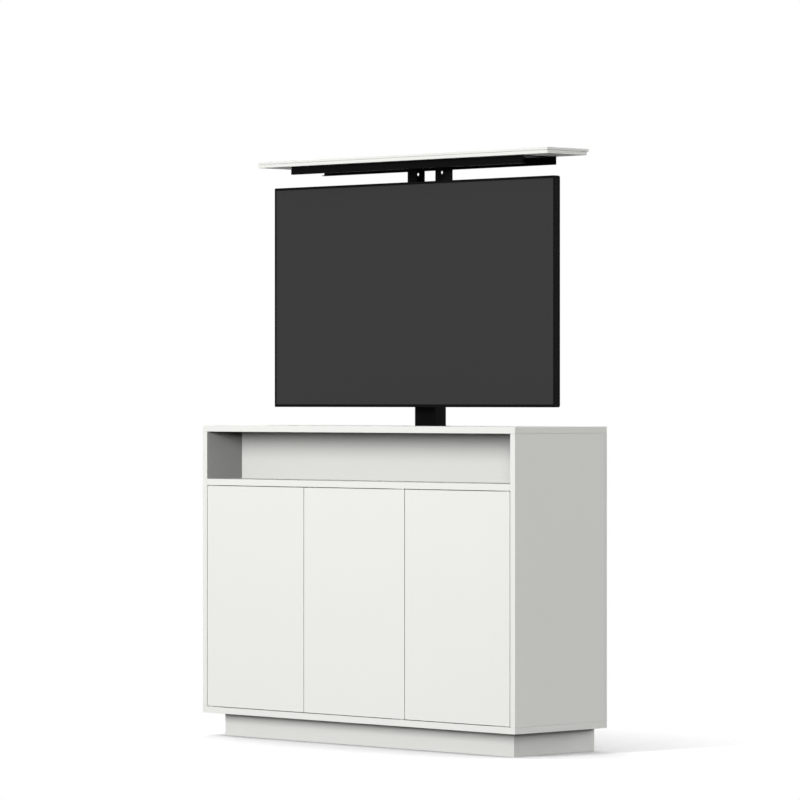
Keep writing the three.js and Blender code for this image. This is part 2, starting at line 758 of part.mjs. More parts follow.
// The fixed part of the lift, standing on the bottom board
function makeLiftBase() {
  const group = new THREE.Group();
  const footShape = roundedRectangle(new THREE.Shape(), 0, footDepth / 2, footWidth, footDepth, footCorner);
  const foot = join([
    extruded(footShape, footThickness, cornerSteps),
    ...footBolts.map(([x, y]) => moved(boltSolid(footBoltLength, upward), x, y - liftFront, footThickness)),
  ]);
  addPiece(group, 'lift_foot_plate', foot, blackSteel, 0, liftFront, caseFloor + seatGap);

  const outerBottom = footTop + seatGap;
  const tubeTop = outerTop - guideHeight;
  const outerColumn = columnTube(outerWidth, outerDepth, outerCorner, columnWall, tubeTop - outerBottom);
  addPiece(group, 'outer_column', outerColumn, blackSteel, 0, columnCentre, outerBottom);
  const collar = guideRing(
    [outerWidth, outerDepth],
    [middleWidth + guideFit, middleDepth + guideFit],
    outerCorner,
    guideHeight - seatGap,
  );
  addPiece(group, 'outer_column_guide', collar, blackPlastic, 0, columnCentre, tubeTop + seatGap);

  const gearBack = columnFront - gearClearance;
  const gearFront = gearBack - gearDepth;
  const housingShape = roundedRectangle(new THREE.Shape(),
    0, gearHeight / 2, gearWidth, gearHeight, gearCorner);
  const ribSpan = gearWidth - 2 * gearCorner;
  const grooves = [];
  for (let index = 0; index < gearRibCount; index += 1) {
    const x = -ribSpan / 2 + ribSpan * (index + 0.5) / gearRibCount;
    const groove = slab(gearRibWidth, gearRibDepth + overrun, gearHeight - 2 * gearCorner);
    grooves.push(moved(groove, x, -overrun, gearCorner));
  }
  const boss = rod(gearBossRadius, gearDepth / 2 + gearClearance - seatGap, toBack, largeSides);
  const housing = join([
    cut(standingPlate(housingShape, gearDepth, cornerSteps), grooves),
    moved(boss, 0, gearDepth / 2, motorHeight),
  ]);
  addPiece(group, 'gear_housing', housing, blackPlastic, 0, gearFront, footTop + seatGap);

  const motor = turned([
    [0, 0],
    [motorNeckRadius, 0],
    [motorNeckRadius, motorNeckLength],
    [motorRadius, motorNeckLength],
    [motorRadius, motorLength - motorCapLength],
    [motorCapRadius, motorLength],
    [0, motorLength],
  ], toRight, largeSides);
  addPiece(group, 'drive_motor', motor, zincSteel,
    gearWidth / 2 + seatGap, gearFront + gearDepth / 2, footTop + seatGap + motorHeight);

  const controlShape = roundedRectangle(new THREE.Shape(),
    0, controlHeight / 2, controlWidth, controlHeight, controlCorner);
  const inlet = slab(inletWidth, inletHeight, inletDepth + overrun);
  const controlBox = cut(standingPlate(controlShape, controlDepth, cornerSteps), [
    moved(inlet, 0, (controlDepth - inletHeight) / 2, -overrun),
  ]);
  addPiece(group, 'control_box', controlBox, blackPlastic,
    controlPlace, dividerBack + seatGap, caseFloor + controlBottom);

  const railFront = innerBack - seatGap - boardThickness;
  const bracketBack = railFront - seatGap;
  const bracketSide = outerWidth / 2 + seatGap;
  [['left_column_bracket', -1], ['right_column_bracket', 1]].forEach(([name, side]) => {
    const bracket = extruded(shapeOf([
      [side * bracketSide, bracketBack],
      [side * (bracketSide + bracketLeg), bracketBack],
      [side * (bracketSide + bracketLeg), bracketBack - bracketThickness],
      [side * (bracketSide + bracketThickness), bracketBack - bracketThickness],
      [side * (bracketSide + bracketThickness), columnCentre - outerDepth / 4],
      [side * bracketSide, columnCentre - outerDepth / 4],
    ]), bracketHeight, cornerSteps);
    addPiece(group, name, bracket, blackSteel, 0, 0, outerTop - bracketDrop - bracketHeight);
  });
  return group;
}

// The middle stage, lifted by half the travel
function makeMiddleStage() {
  const group = new THREE.Group();
  group.position.set(0, columnCentre, stageBottom + stageTravel);
  const tubeLength = middleLength - middleGuideHeight;
  const tube = columnTube(middleWidth, middleDepth, middleCorner, columnWall, tubeLength);
  addPiece(group, 'middle_column', tube, blackSteel, 0, 0, 0);
  const topGuide = guideRing(
    [middleWidth, middleDepth],
    [innerColumnWidth + guideFit, innerColumnDepth + guideFit],
    middleCorner,
    middleGuideHeight - seatGap,
  );
  const shoe = guideRing(
    [outerWidth - 2 * columnWall - guideFit, outerDepth - 2 * columnWall - guideFit],
    [middleWidth + guideFit, middleDepth + guideFit],
    middleCorner,
    shoeHeight,
  );
  addPiece(group, 'middle_column_guide', topGuide, blackPlastic, 0, 0, tubeLength + seatGap);
  addPiece(group, 'middle_column_shoe', shoe, blackPlastic, 0, 0, shoeInset);
  return group;
}

// Crosshead on the inner column: a top plate with a folded front flange and two gussets
function makeCrosshead() {
  const plateBack = columnCentre + crossheadBackReach;
  const depth = plateBack - (flangeBack - crossheadSheet);
  const plate = moved(
    slab(crossheadWidth, depth, crossheadThickness),
    0, flangeBack - crossheadSheet, crossheadUnder,
  );
  const flange = moved(
    slab(crossheadWidth, crossheadSheet, crossheadFlange + crossheadThickness),
    0, flangeBack - crossheadSheet, crossheadUnder - crossheadFlange,
  );
  const gussets = [-1, 1].map((side) => {
    const outline = shapeOf([
      [flangeBack - crossheadSheet, crossheadUnder],
      [flangeBack - crossheadSheet, crossheadUnder - crossheadFlange],
      [flangeBack + gussetTip, crossheadUnder - crossheadFlange],
      [flangeBack + gussetReach, crossheadUnder - gussetTip],
      [flangeBack + gussetReach, crossheadUnder],
    ]);
    const x = side * gussetPlace - gussetThickness / 2;
    return moved(profileAlongX(outline, gussetThickness, cornerSteps), x, 0, 0);
  });
  const bolts = hangerBolts().map(([x, z]) => moved(
    boltSolid(hangerSheet + 2 * seatGap + crossheadSheet, toFront), x, armBack, z,
  ));
  return join([plate, flange, ...gussets, ...bolts]);
}

// Places of the bolts that hold the hanger plate on the crosshead flange
function hangerBolts() {
  const level = crossheadUnder - hangerBoltRow;
  return [-1, 1].map((side) => [side * hangerBoltSpacing / 2, level]);
}

// The ladder plate that carries the television: a spine with an upper and a lower rail
function makeHangerPlate() {
  const top = hangerTop;
  const bottom = top - hangerHeight;
  const half = hangerWidth / 2;
  const spine = hangerSpine / 2;
  const corner = hangerCorner;
  const neck = crossheadWidth / 2;
  const lowRailTop = bottom + hangerRail;
  const highRailTop = top - crossheadFlange;
  const highRailBottom = highRailTop - hangerRail;
  const quarter = Math.PI / 2;
  const shape = new THREE.Shape();
  shape.moveTo(-half, bottom + corner);
  shape.absarc(-half + corner, bottom + corner, corner, 2 * quarter, 3 * quarter, false);
  shape.lineTo(half - corner, bottom);
  shape.absarc(half - corner, bottom + corner, corner, -quarter, 0, false);
  shape.lineTo(half, lowRailTop);
  shape.lineTo(spine + corner, lowRailTop);
  shape.absarc(spine + corner, lowRailTop + corner, corner, 3 * quarter, 2 * quarter, true);
  shape.lineTo(spine, highRailBottom - corner);
  shape.absarc(spine + corner, highRailBottom - corner, corner, 2 * quarter, quarter, true);
  shape.lineTo(half, highRailBottom);
  shape.lineTo(half, highRailTop);
  shape.lineTo(neck, highRailTop);
  shape.lineTo(neck, top);
  shape.lineTo(-neck, top);
  shape.lineTo(-neck, highRailTop);
  shape.lineTo(-half, highRailTop);
  shape.lineTo(-half, highRailBottom);
  shape.lineTo(-spine - corner, highRailBottom);
  shape.absarc(-spine - corner, highRailBottom - corner, corner, quarter, 0, true);
  shape.lineTo(-spine, lowRailTop + corner);
  shape.absarc(-spine - corner, lowRailTop + corner, corner, 0, -quarter, true);
  shape.lineTo(-half, lowRailTop);
  const slotLevels = [lowRailTop - hangerRail / 2, highRailTop - hangerRail / 2];
  slotLevels.forEach((level) => [-1, 1].forEach((side) => {
    shape.holes.push(roundedRectangle(new THREE.Path(), side * armPlace, level,
      hangerSlotLength, hangerSlotWidth, hangerSlotWidth / 2));
  }));
  hangerBolts().forEach(([x, z]) => shape.holes.push(roundHole(x, z, boltRadius + boltFit)));
  return standingPlate(shape, hangerSheet, cornerSteps);
}

// A folded channel, open to the back, with its web and two bolts on the television's rear
function makeArm() {
  const half = armWidth / 2;
  const outline = shapeOf([
    [-half, 0],
    [half, 0],
    [half, armDepth],
    [half - armSheet, armDepth],
    [half - armSheet, armSheet],
    [-half + armSheet, armSheet],
    [-half + armSheet, armDepth],
    [-half, armDepth],
  ]);
  const bolts = vesaLevels().map((level) => moved(
    boltSolid(armSheet + bossHoleDepth - seatGap, toBack), 0, armSheet, level - armBottom(),
  ));
  return join([extruded(outline, armLength, cornerSteps), ...bolts]);
}

function armTop() {
  return hangerTop - crossheadFlange - armDrop + hangerRail / 2;
}

function armBottom() {
  return armTop() - armLength;
}

function vesaLevels() {
  const middle = (armTop() + armBottom()) / 2;
  return [middle - vesaHeight / 2, middle + vesaHeight / 2];
}

// An upright channel with a foot and a head plate, open towards the middle
function makeUpright(side) {
  const low = crossheadTop + seatGap;
  const high = carrierWebUnder - seatGap;
  const outer = uprightOuterPlace;
  const inner = uprightOuterPlace - uprightFlange;
  const frontY = columnCentre - uprightFrontSet;
  const rearY = frontY + uprightDepth;
  const section = extruded(shapeOf([
    [side * outer, frontY],
    [side * inner, frontY],
    [side * inner, frontY + uprightSheet],
    [side * (outer - uprightSheet), frontY + uprightSheet],
    [side * (outer - uprightSheet), rearY - uprightSheet],
    [side * inner, rearY - uprightSheet],
    [side * inner, rearY],
    [side * outer, rearY],
  ]), high - low, cornerSteps);
  const centre = side * (outer + inner) / 2;
  const foot = moved(slab(uprightFlange, uprightDepth, uprightSheet), centre, frontY, low);
  const head = moved(slab(uprightFlange, uprightDepth, uprightSheet), centre, frontY, high - uprightSheet);
  const holeX = side * (outer - uprightHoleInset);
  const hole = moved(
    rod(uprightHoleRadius, uprightDepth + 2 * overrun, toBack, largeSides),
    holeX, frontY - overrun, carrierTop - uprightHoleDrop,
  );
  return cut(join([moved(section, 0, 0, low), foot, head]), [hole]);
}

// Places of the lid screws, in two rows along the lid carrier
function lidScrewPlaces() {
  const carrierFront = lidFront + carrierFrontInset;
  const carrierDepth = lidDepth - carrierFrontInset - carrierBackInset;
  const span = lidLength - 2 * carrierEndInset - 2 * lidScrewEndInset;
  const columns = lidScrewCount / 2;
  return Array.from({ length: lidScrewCount }, (unused, index) => {
    const column = index % columns;
    const rowShare = lidScrewRowShares[Math.floor(index / columns)];
    return [-span / 2 + span * column / (columns - 1), carrierFront + carrierDepth * rowShare];
  });
}

// A lipped channel, open downwards, that carries the lid on eight screws through its web
function makeCarrier() {
  const depth = lidDepth - carrierFrontInset - carrierBackInset;
  const length = lidLength - 2 * carrierEndInset;
  const outline = shapeOf([
    [0, 0],
    [0, -carrierHeight],
    [carrierLip, -carrierHeight],
    [carrierLip, -carrierHeight + carrierSheet],
    [carrierSheet, -carrierHeight + carrierSheet],
    [carrierSheet, -carrierSheet],
    [depth - carrierSheet, -carrierSheet],
    [depth - carrierSheet, -carrierHeight + carrierSheet],
    [depth - carrierLip, -carrierHeight + carrierSheet],
    [depth - carrierLip, -carrierHeight],
    [depth, -carrierHeight],
    [depth, 0],
  ]);
  const channel = moved(profileAlongX(outline, length, cornerSteps),
    -length / 2, lidFront + carrierFrontInset, carrierTop);
  const profile = [
    [0, -lidScrewHeadHeight],
    [lidScrewHead, -lidScrewHeadHeight],
    [lidScrewHead, 0],
    [lidScrewRadius, 0],
    [lidScrewRadius, lidScrewLength],
    [0, lidScrewLength],
  ];
  const screws = lidScrewPlaces().map(([x, y]) => {
    const screw = turned(profile, upward, smallSides);
    return moved(screw, x, y, carrierWebUnder);
  });
  return join([channel, ...screws]);
}

// The television: a bezel with a lip over the screen, the screen panel and a rear shell
function makeTelevision() {
  const group = new THREE.Group();
  const centre = (tvTop + tvBottom) / 2;
  const viewHeight = tvHeight - bezelTop - bezelBottom;
  const viewCentre = centre + (bezelBottom - bezelTop) / 2;
  const outside = roundedRectangle(new THREE.Shape(), 0, centre, tvWidth, tvHeight, tvCorner);
  const view = roundedRectangle(new THREE.Shape(), 0, viewCentre,
    tvWidth - 2 * bezelSide, viewHeight, bezelLip);
  const pocket = roundedRectangle(new THREE.Shape(), 0, centre,
    tvWidth - 2 * bezelWall, tvHeight - 2 * bezelWall, bezelLip);
  const bezel = cut(standingPlate(outside, bezelDepth, cornerSteps), [
    moved(standingPlate(view, bezelLip + 2 * overrun, cornerSteps), 0, -overrun, 0),
    moved(standingPlate(pocket, bezelDepth + overrun, cornerSteps), 0, bezelLip, 0),
  ]);
  addPiece(group, 'tv_bezel', bezel, blackPlastic, 0, tvFront, 0);

  const screenWidth = tvWidth - 2 * bezelWall - 2 * seatGap;
  const screenHeight = tvHeight - 2 * bezelWall - 2 * seatGap;
  const screenDepth = bezelDepth - bezelLip - 2 * seatGap;
  const screen = roundedRectangle(new THREE.Shape(), 0, centre, screenWidth, screenHeight, bezelLip);
  addPiece(group, 'tv_screen', standingPlate(screen, screenDepth, cornerSteps), glassScreen,
    0, tvFront + bezelLip + seatGap, 0);

  addPiece(group, 'tv_rear_shell', makeRearShell(centre), blackPlastic,
    0, tvFront + bezelDepth + seatGap, 0);
  return group;
}

// A shallow dish with bevelled rims and a sloping bulge over the electronics,
// with a bay for the plugs, a row of vents and a boss for each fixing bolt
function makeRearShell(centre) {
  const dish = roundedRectangle(new THREE.Shape(), 0, centre,
    tvWidth - 2 * shellBevel, tvHeight - 2 * shellBevel, tvCorner);
  const dishGeometry = new THREE.ExtrudeGeometry(dish, {
    depth: shellDepth - 2 * shellBevel,
    bevelEnabled: true,
    bevelThickness: shellBevel,
    bevelSize: shellBevel,
    bevelSegments: 1,
    curveSegments: cornerSteps,
  });
  dishGeometry.rotateX(Math.PI / 2);
  dishGeometry.translate(0, shellDepth - shellBevel, 0);
  const bulgeCentre = tvBottom + bulgeBottom + bulgeHeight / 2;
  const bulgeTop = bulgeCentre + bulgeHeight / 2;
  const bulge = roundedRectangle(new THREE.Shape(), 0, bulgeCentre,
    bulgeWidth - 2 * bulgeSlope, bulgeHeight - 2 * bulgeSlope, bulgeSlope);
  const bulgeGeometry = new THREE.ExtrudeGeometry(bulge, {
    depth: shellBevel,
    bevelEnabled: true,
    bevelThickness: bulgeDepth,
    bevelSize: bulgeSlope,
    bevelSegments: 1,
    curveSegments: cornerSteps,
  });
  bulgeGeometry.rotateX(Math.PI / 2);
  bulgeGeometry.translate(0, shellDepth, 0);
  const rear = shellDepth + bulgeDepth;
  const fixings = [-1, 1].flatMap((side) => vesaLevels().map((level) => [side * armPlace, level]));
  const bosses = fixings.map(([x, z]) => {
    const boss = rod(bossRadius, bulgeDepth + shellBevel, toFront, largeSides);
    return moved(boss, x, rear, z);
  });
  const body = join([dishGeometry, bulgeGeometry, ...bosses]);

  const trim = moved(slab(tvWidth, rear, tvHeight), 0, -rear, tvBottom);
  const holes = fixings.map(([x, z]) => {
    const hole = rod(bossHoleRadius, bossHoleDepth + overrun, toFront, smallSides);
    return moved(hole, x, rear + overrun, z);
  });
  const bayShape = roundedRectangle(new THREE.Shape(), bulgeWidth / 2 - portBayInset, bulgeCentre,
    portBayWidth, portBayHeight, portBayCorner);
  const bay = standingPlate(bayShape, portBayDepth + overrun, cornerSteps);
  const vents = Array.from({ length: shellVentCount }, (unused, index) => {
    const vent = slab(shellVentWidth, shellVentDepth + overrun, shellVentLength);
    const place = (index - (shellVentCount - 1) / 2) * shellVentPitch;
    return moved(vent, place, rear - shellVentDepth, bulgeTop - shellVentDrop - shellVentLength);
  });
  return cut(body, [trim, ...holes, moved(bay, 0, rear - portBayDepth, 0), ...vents]);
}

// Everything that rides on the inner column, with Z zero at the top of the lid
function makeCarriage() {
  const group = new THREE.Group();
  group.position.set(0, 0, cabinetHeight + liftTravel);
  const columnBottom = stageBottom - cabinetHeight;
  const columnTop = crossheadUnder - seatGap;
  const column = columnTube(innerColumnWidth, innerColumnDepth, innerColumnCorner, columnWall,
    columnTop - columnBottom);
  addPiece(group, 'inner_column', column, blackSteel, 0, columnCentre, columnBottom);
  const shoe = guideRing(
    [middleWidth - 2 * columnWall - guideFit, middleDepth - 2 * columnWall - guideFit],
    [innerColumnWidth + guideFit, innerColumnDepth + guideFit],
    innerColumnCorner,
    shoeHeight,
  );
  addPiece(group, 'inner_column_shoe', shoe, blackPlastic, 0, columnCentre, columnBottom + shoeInset);
  addPiece(group, 'crosshead', makeCrosshead(), blackSteel, 0, 0, 0);
  addPiece(group, 'hanger_plate', makeHangerPlate(), blackSteel, 0, hangerBack - hangerSheet, 0);
  addPiece(group, 'left_tv_arm', makeArm(), blackSteel, -armPlace, armBack - armDepth, armBottom());
  addPiece(group, 'right_tv_arm', makeArm(), blackSteel, armPlace, armBack - armDepth, armBottom());
  addPiece(group, 'left_upright', makeUpright(-1), blackSteel, 0, 0, 0);
  addPiece(group, 'right_upright', makeUpright(1), blackSteel, 0, 0, 0);
  addPiece(group, 'lid_carrier', makeCarrier(), blackSteel, 0, 0, 0);
  const pilots = lidScrewPlaces().map(([x, y]) => moved(
    rod(lidScrewRadius + seatGap, overrun + lidScrewLength - carrierSheet, upward, smallSides),
    x, y - lidFront, -overrun,
  ));
  addPiece(group, 'lid_base', cut(slab(lidLength, lidBaseDepth, lidBaseThickness), pilots), whiteLacquer,
    0, lidFront, -lidThickness);
  addPiece(group, 'lid_cover', slab(lidLength, lidDepth, lidCoverThickness), whiteLacquer,
    0, lidFront, -lidCoverThickness);
  group.add(makeTelevision());
  return group;
}

const cabinet = new THREE.Group();
cabinet.add(makeCase());
cabinet.add(makePlinth());
cabinet.add(makeBack());
doors.forEach((door) => cabinet.add(makeDoor(door)));
cabinet.add(makeLatches());
cabinet.add(makeLiftBase());
cabinet.add(makeMiddleStage());
cabinet.add(makeCarriage());

export default cabinet;
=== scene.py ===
# %% [markdown]
# # A television lift cabinet, dressed in Blender
#
# The cabinet is a white lacquered case with an open niche and three flush doors. A telescopic column raises
# a flat television and a strip of the table top out of it. The construction is already there as a packed
# frame: boards, doors, column, carriage and television stand at their real size. This script gives each of
# them its edges, its small parts and its finish, and lights the whole as in a product photograph.

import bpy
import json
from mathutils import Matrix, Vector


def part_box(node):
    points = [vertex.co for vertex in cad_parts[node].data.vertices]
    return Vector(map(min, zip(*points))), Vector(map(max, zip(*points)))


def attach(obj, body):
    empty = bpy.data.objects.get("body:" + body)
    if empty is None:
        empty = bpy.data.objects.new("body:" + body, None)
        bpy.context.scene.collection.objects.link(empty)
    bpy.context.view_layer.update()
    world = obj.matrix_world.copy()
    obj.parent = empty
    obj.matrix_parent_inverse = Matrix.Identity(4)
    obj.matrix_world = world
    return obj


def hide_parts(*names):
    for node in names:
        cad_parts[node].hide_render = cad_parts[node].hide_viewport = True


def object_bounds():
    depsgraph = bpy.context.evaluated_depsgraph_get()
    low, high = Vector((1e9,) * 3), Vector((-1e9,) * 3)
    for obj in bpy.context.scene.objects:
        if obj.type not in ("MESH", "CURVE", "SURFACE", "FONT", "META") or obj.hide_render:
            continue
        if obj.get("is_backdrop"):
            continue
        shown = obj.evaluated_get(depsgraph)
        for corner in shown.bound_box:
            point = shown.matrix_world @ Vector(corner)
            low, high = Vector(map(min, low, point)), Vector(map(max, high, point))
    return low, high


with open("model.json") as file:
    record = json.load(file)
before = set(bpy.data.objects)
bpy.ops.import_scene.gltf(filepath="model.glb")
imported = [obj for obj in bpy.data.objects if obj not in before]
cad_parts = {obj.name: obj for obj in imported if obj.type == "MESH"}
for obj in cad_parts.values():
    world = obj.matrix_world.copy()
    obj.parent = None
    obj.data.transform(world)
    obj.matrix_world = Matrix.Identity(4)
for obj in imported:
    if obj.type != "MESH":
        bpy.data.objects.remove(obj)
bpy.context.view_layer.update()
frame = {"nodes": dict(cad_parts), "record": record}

# %% [markdown]
# ## Tools and tables
#
# Lengths are in metres, so the millimetre gets a name of its own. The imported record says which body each
# piece belongs to, such as a door or the rising carriage, and which finish it wears. Both could be looked
# up piece by piece, but two tables made once keep all later cells short.

# %% The tools of the script
import json
import math

import bmesh
import bpy
from mathutils import Matrix, Vector

MM = 0.001
scene = bpy.context.scene
record = frame["record"]
body_of_node = {node: body for body, nodes in record["behaviour"]["bodies"].items() for node in nodes}
slot_of_node = {entry["node"]: entry["material_slot"] for entry in record["subparts"]}

# %% [markdown]
# ## The camera
#
# The camera comes first, because every later look is judged through it. It stands just above the height of
# the top board, far away with a long lens. It could look down on the cabinet, but then the upright edges
# would lean together, so it looks level instead. The azimuth is counted from a view along the depth of the
# cabinet.

# %% The camera
camera_azimuth = math.radians(45.354)
camera_distance = 12.997
camera_height = 0.967
camera_lens = 207.63
camera_sensor = 36
nearest_seen = 0.1
farthest_seen = 200
upright = math.radians(90)

bpy.ops.object.select_all(action="DESELECT")
bpy.ops.object.camera_add(
    location=(
        camera_distance * math.sin(camera_azimuth),
        -camera_distance * math.cos(camera_azimuth),
        camera_height,
    ),
    rotation=(upright, 0, camera_azimuth),
)
camera = bpy.context.object
camera.name = "camera"
camera.data.sensor_width = camera_sensor
camera.data.lens = camera_lens
camera.data.clip_start = nearest_seen
camera.data.clip_end = farthest_seen
scene.camera = camera
print("camera", [round(value, 3) for value in camera.location])

# %% [markdown]
# ## Shader arithmetic
#
# A finish is easier to read as arithmetic than as a web of nodes. The class below wraps one output socket.
# Adding or multiplying two of them places a Math node, and numbers may stand on either side. Everything
# that is not plain arithmetic comes from the one method of the next cell.


# %% Sockets that can be added and multiplied
class Wire:
    def __init__(self, nodes, socket):
        self.nodes = nodes
        self.socket = socket

    def _math(self, operation, other):
        return self.nodes.node("ShaderNodeMath", {"operation": operation}, {0: self, 1: other})

    def __add__(self, other):
        return self._math("ADD", other)

    __radd__ = __add__

    def __mul__(self, other):
        return self._math("MULTIPLY", other)

    __rmul__ = __mul__


# %% [markdown]
# A tree is filled by one method, which takes the kind of node, its settings and its inputs, and gives the
# output back as a wire. The settings come first, because some of them decide which sockets there are.


# %% A node tree that is filled in one way
class Nodes:
    def __init__(self, tree):
        self.tree = tree

    def feed(self, node, key, value):
        target = node.inputs[key]
        if isinstance(value, Wire):
            self.tree.links.new(value.socket, target)
        else:
            target.default_value = value

    def node(self, kind, settings=None, inputs=None, output=0):
        made = self.tree.nodes.new(kind)
        for key, value in (settings or {}).items():
            setattr(made, key, value)
        for key, value in (inputs or {}).items():
            self.feed(made, key, value)
        return Wire(self, made.outputs[output])


# %% [markdown]
# Each finish starts from the Principled shader. What is even is set on its sockets, and what varies is fed
# from noise. The noise could follow the box of each piece, but then a screw would have the grain of a door
# shrunk to its size. It is measured on the object in metres instead, so that the grain is the same on both.


# %% One finish, built on the Principled shader
class Finish(Nodes):
    def __init__(self, name, **even):
        self.material = bpy.data.materials.new(name)
        self.material.use_nodes = True
        super().__init__(self.material.node_tree)
        self.shader = self.tree.nodes["Principled BSDF"]
        for key, value in even.items():
            self.feed(self.shader, key.replace("_", " "), value)

    def place(self):
        return self.node("ShaderNodeTexCoord", output="Object")

    def stretched(self, scale):
        return self.node("ShaderNodeMapping", None, {"Vector": self.place(), "Scale": scale})

    def noise(self, scale, detail, place=None):
        inputs = {"Vector": place or self.place(), "Scale": scale, "Detail": detail}
        return self.node("ShaderNodeTexNoise", None, inputs)

    def cells(self, scale, output):
        return self.node("ShaderNodeTexVoronoi", None, {"Vector": self.place(), "Scale": scale}, output)

    def blend(self, factor, first, second):
        return self.node("ShaderNodeMix", {"data_type": "RGBA"}, {0: factor, 6: first, 7: second}, 2)

    def bump(self, height, distance, strength):
        inputs = {"Height": height, "Distance": distance, "Strength": strength}
        self.feed(self.shader, "Normal", self.node("ShaderNodeBump", None, inputs))

    def colour(self, value):
        self.feed(self.shader, "Base Color", value)

    def roughness(self, value):
        self.feed(self.shader, "Roughness", value)


def opaque(red, green, blue):
    return (red, green, blue, 1.0)


def grey(level):
    return opaque(level, level, level)


materials = {}


def kept(slot, finish):
    materials[slot] = finish.material
    print(slot, "has", len(finish.tree.nodes), "nodes")


# %% [markdown]
# ## The white lacquer
#
# The boards are fibreboard under a matt lacquer, a white with a breath of warm green in it. One flat colour
# would look like paper, because a sprayed film is never quite even: its tone drifts by a percent or two
# across a door, its gloss a little more, and under a raking light it shows a very fine orange peel. All
# three come from noise in real units. The colour is written as it should look under plain light.

# %% White lacquer
lacquer = Finish("white_lacquer", Specular_IOR_Level=0.35)
drift = lacquer.noise(scale=3.5, detail=3.0)
lacquer.colour(lacquer.blend(drift, opaque(0.814, 0.818, 0.783), opaque(0.828, 0.832, 0.797)))
lacquer.roughness(0.46 + 0.10 * lacquer.noise(scale=9.0, detail=2.0))
peel = lacquer.noise(scale=420.0, detail=1.0) + 0.4 * lacquer.noise(scale=1500.0, detail=2.0)
lacquer.bump(peel, distance=0.03 * MM, strength=0.35)
kept("white_lacquer", lacquer)

# %% [markdown]
# The back panel and its service cover are not lacquered but laminated, which is cheaper where nobody looks:
# a slightly greyer, rougher white with the faint pebble of a pressed melamine sheet. Soft noise would look
# like a sprayed film again, so the pebble comes from a cell pattern, whose grains have borders.

# %% White laminate
laminate = Finish("white_laminate", Specular_IOR_Level=0.3)
drift = laminate.noise(scale=2.5, detail=2.0)
laminate.colour(laminate.blend(drift, opaque(0.79, 0.79, 0.755), opaque(0.82, 0.82, 0.785)))
pebble = laminate.cells(scale=900.0, output="Distance")
laminate.roughness(0.55 + 0.12 * laminate.noise(scale=300.0, detail=2.0))
laminate.bump(pebble, distance=0.06 * MM, strength=0.3)
kept("white_back", laminate)

# %% [markdown]
# ## The black metal
#
# Column, carrier, arms and brackets are powder coated. Powder melts into a skin with a fine grain that
# scatters light, so the coat is rough and nearly black. The grain could be modelled in the bump alone, but
# in life it speckles the tone as well, so one noise drives both.

# %% Black powder coat
powder = Finish("black_powder_coat", Specular_IOR_Level=0.03)
grain = powder.noise(scale=1800.0, detail=3.0)
powder.colour(powder.blend(grain, grey(0.0022), grey(0.0034)))
powder.roughness(0.50 + 0.16 * powder.noise(scale=260.0, detail=2.0))
powder.bump(grain, distance=0.08 * MM, strength=0.5)
kept("black_steel", powder)

# %% [markdown]
# ## The bright metal
#
# Screws, door pivots and the motor are zinc plated. Plain grey would look like paint, so the shader is all
# metal, its tone has a cool spangle of cells, and its gloss is broken by fine strokes: noise that is
# squeezed six times along one axis.

# %% Zinc plate
zinc = Finish("zinc_plate", Metallic=1.0)
spangle = zinc.cells(scale=160.0, output="Color")
zinc.colour(zinc.blend(0.12, opaque(0.56, 0.57, 0.58), spangle))
strokes = zinc.noise(scale=700.0, detail=2.0, place=zinc.stretched((1.0, 6.0, 1.0)))
zinc.roughness(0.28 + 0.14 * strokes)
zinc.bump(strokes, distance=0.03 * MM, strength=0.3)
kept("zinc_steel", zinc)

# %% [markdown]
# ## The plastics
#
# Guides, gear housing, control box and grommet are moulded in black with a spark-eroded texture. The latch
# housings are a mid grey. The television's bezel is a finer, deeper black, and its rear shell a slightly
# lighter one with a coarser grain. They differ only in tone, roughness and grain, so one function makes
# them all.


# %% Plastics
cloud_share = 0.9


def moulded_plastic(name, tone, rough, grain_scale, specular):
    finish = Finish(name, Specular_IOR_Level=specular)
    cloud = finish.noise(scale=14.0, detail=2.0)
    shade = [cloud_share * part for part in tone]
    finish.colour(finish.blend(cloud, opaque(*shade), opaque(*tone)))
    grain = finish.noise(scale=grain_scale, detail=2.0)
    finish.roughness(rough + 0.12 * grain)
    finish.bump(grain, distance=0.05 * MM, strength=0.4)
    return finish


black_moulding = moulded_plastic(
    "black_moulding",
    tone=(0.022, 0.022, 0.023),
    rough=0.5,
    grain_scale=1300.0,
    specular=0.3,
)
grey_moulding = moulded_plastic(
    "grey_moulding",
    tone=(0.26, 0.27, 0.28),
    rough=0.45,
    grain_scale=1300.0,
    specular=0.4,
)
television_moulding = moulded_plastic(
    "television_moulding",
    tone=(0.0022, 0.0022, 0.0022),
    rough=0.5,
    grain_scale=2200.0,
    specular=0.04,
)
television_back_moulding = moulded_plastic(
    "television_back_moulding",
    tone=(0.0100, 0.0100, 0.0102),
    rough=0.48,
    grain_scale=1500.0,
    specular=0.03,
)
kept("black_plastic", black_moulding)
kept("grey_plastic", grey_moulding)
kept("tv_plastic", television_moulding)

# %% [markdown]
# ## The screen
#
# The screen is a dark panel under a matt film. A glossy one would mirror the room, but this one shows as an
# even dark grey, so it is rough, hardly specular, and drifts in tone by a few percent only.

# %% The matt film of the screen
screen = Finish("matt_screen", Specular_IOR_Level=0.12)
drift = screen.noise(scale=1.6, detail=1.0)
screen.colour(screen.blend(drift, grey(0.0270), grey(0.0285)))
film = screen.noise(scale=2600.0, detail=1.0)
screen.roughness(0.42 + 0.08 * film)
screen.bump(film, distance=0.01 * MM, strength=0.2)
kept("screen", screen)

# %% [markdown]
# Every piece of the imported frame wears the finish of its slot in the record. Assigning them by hand would
# have to be repeated whenever a piece is added, and the table does it for all of them at once. The plastic
# of the rear shell has no slot of its own and is kept at hand for later.

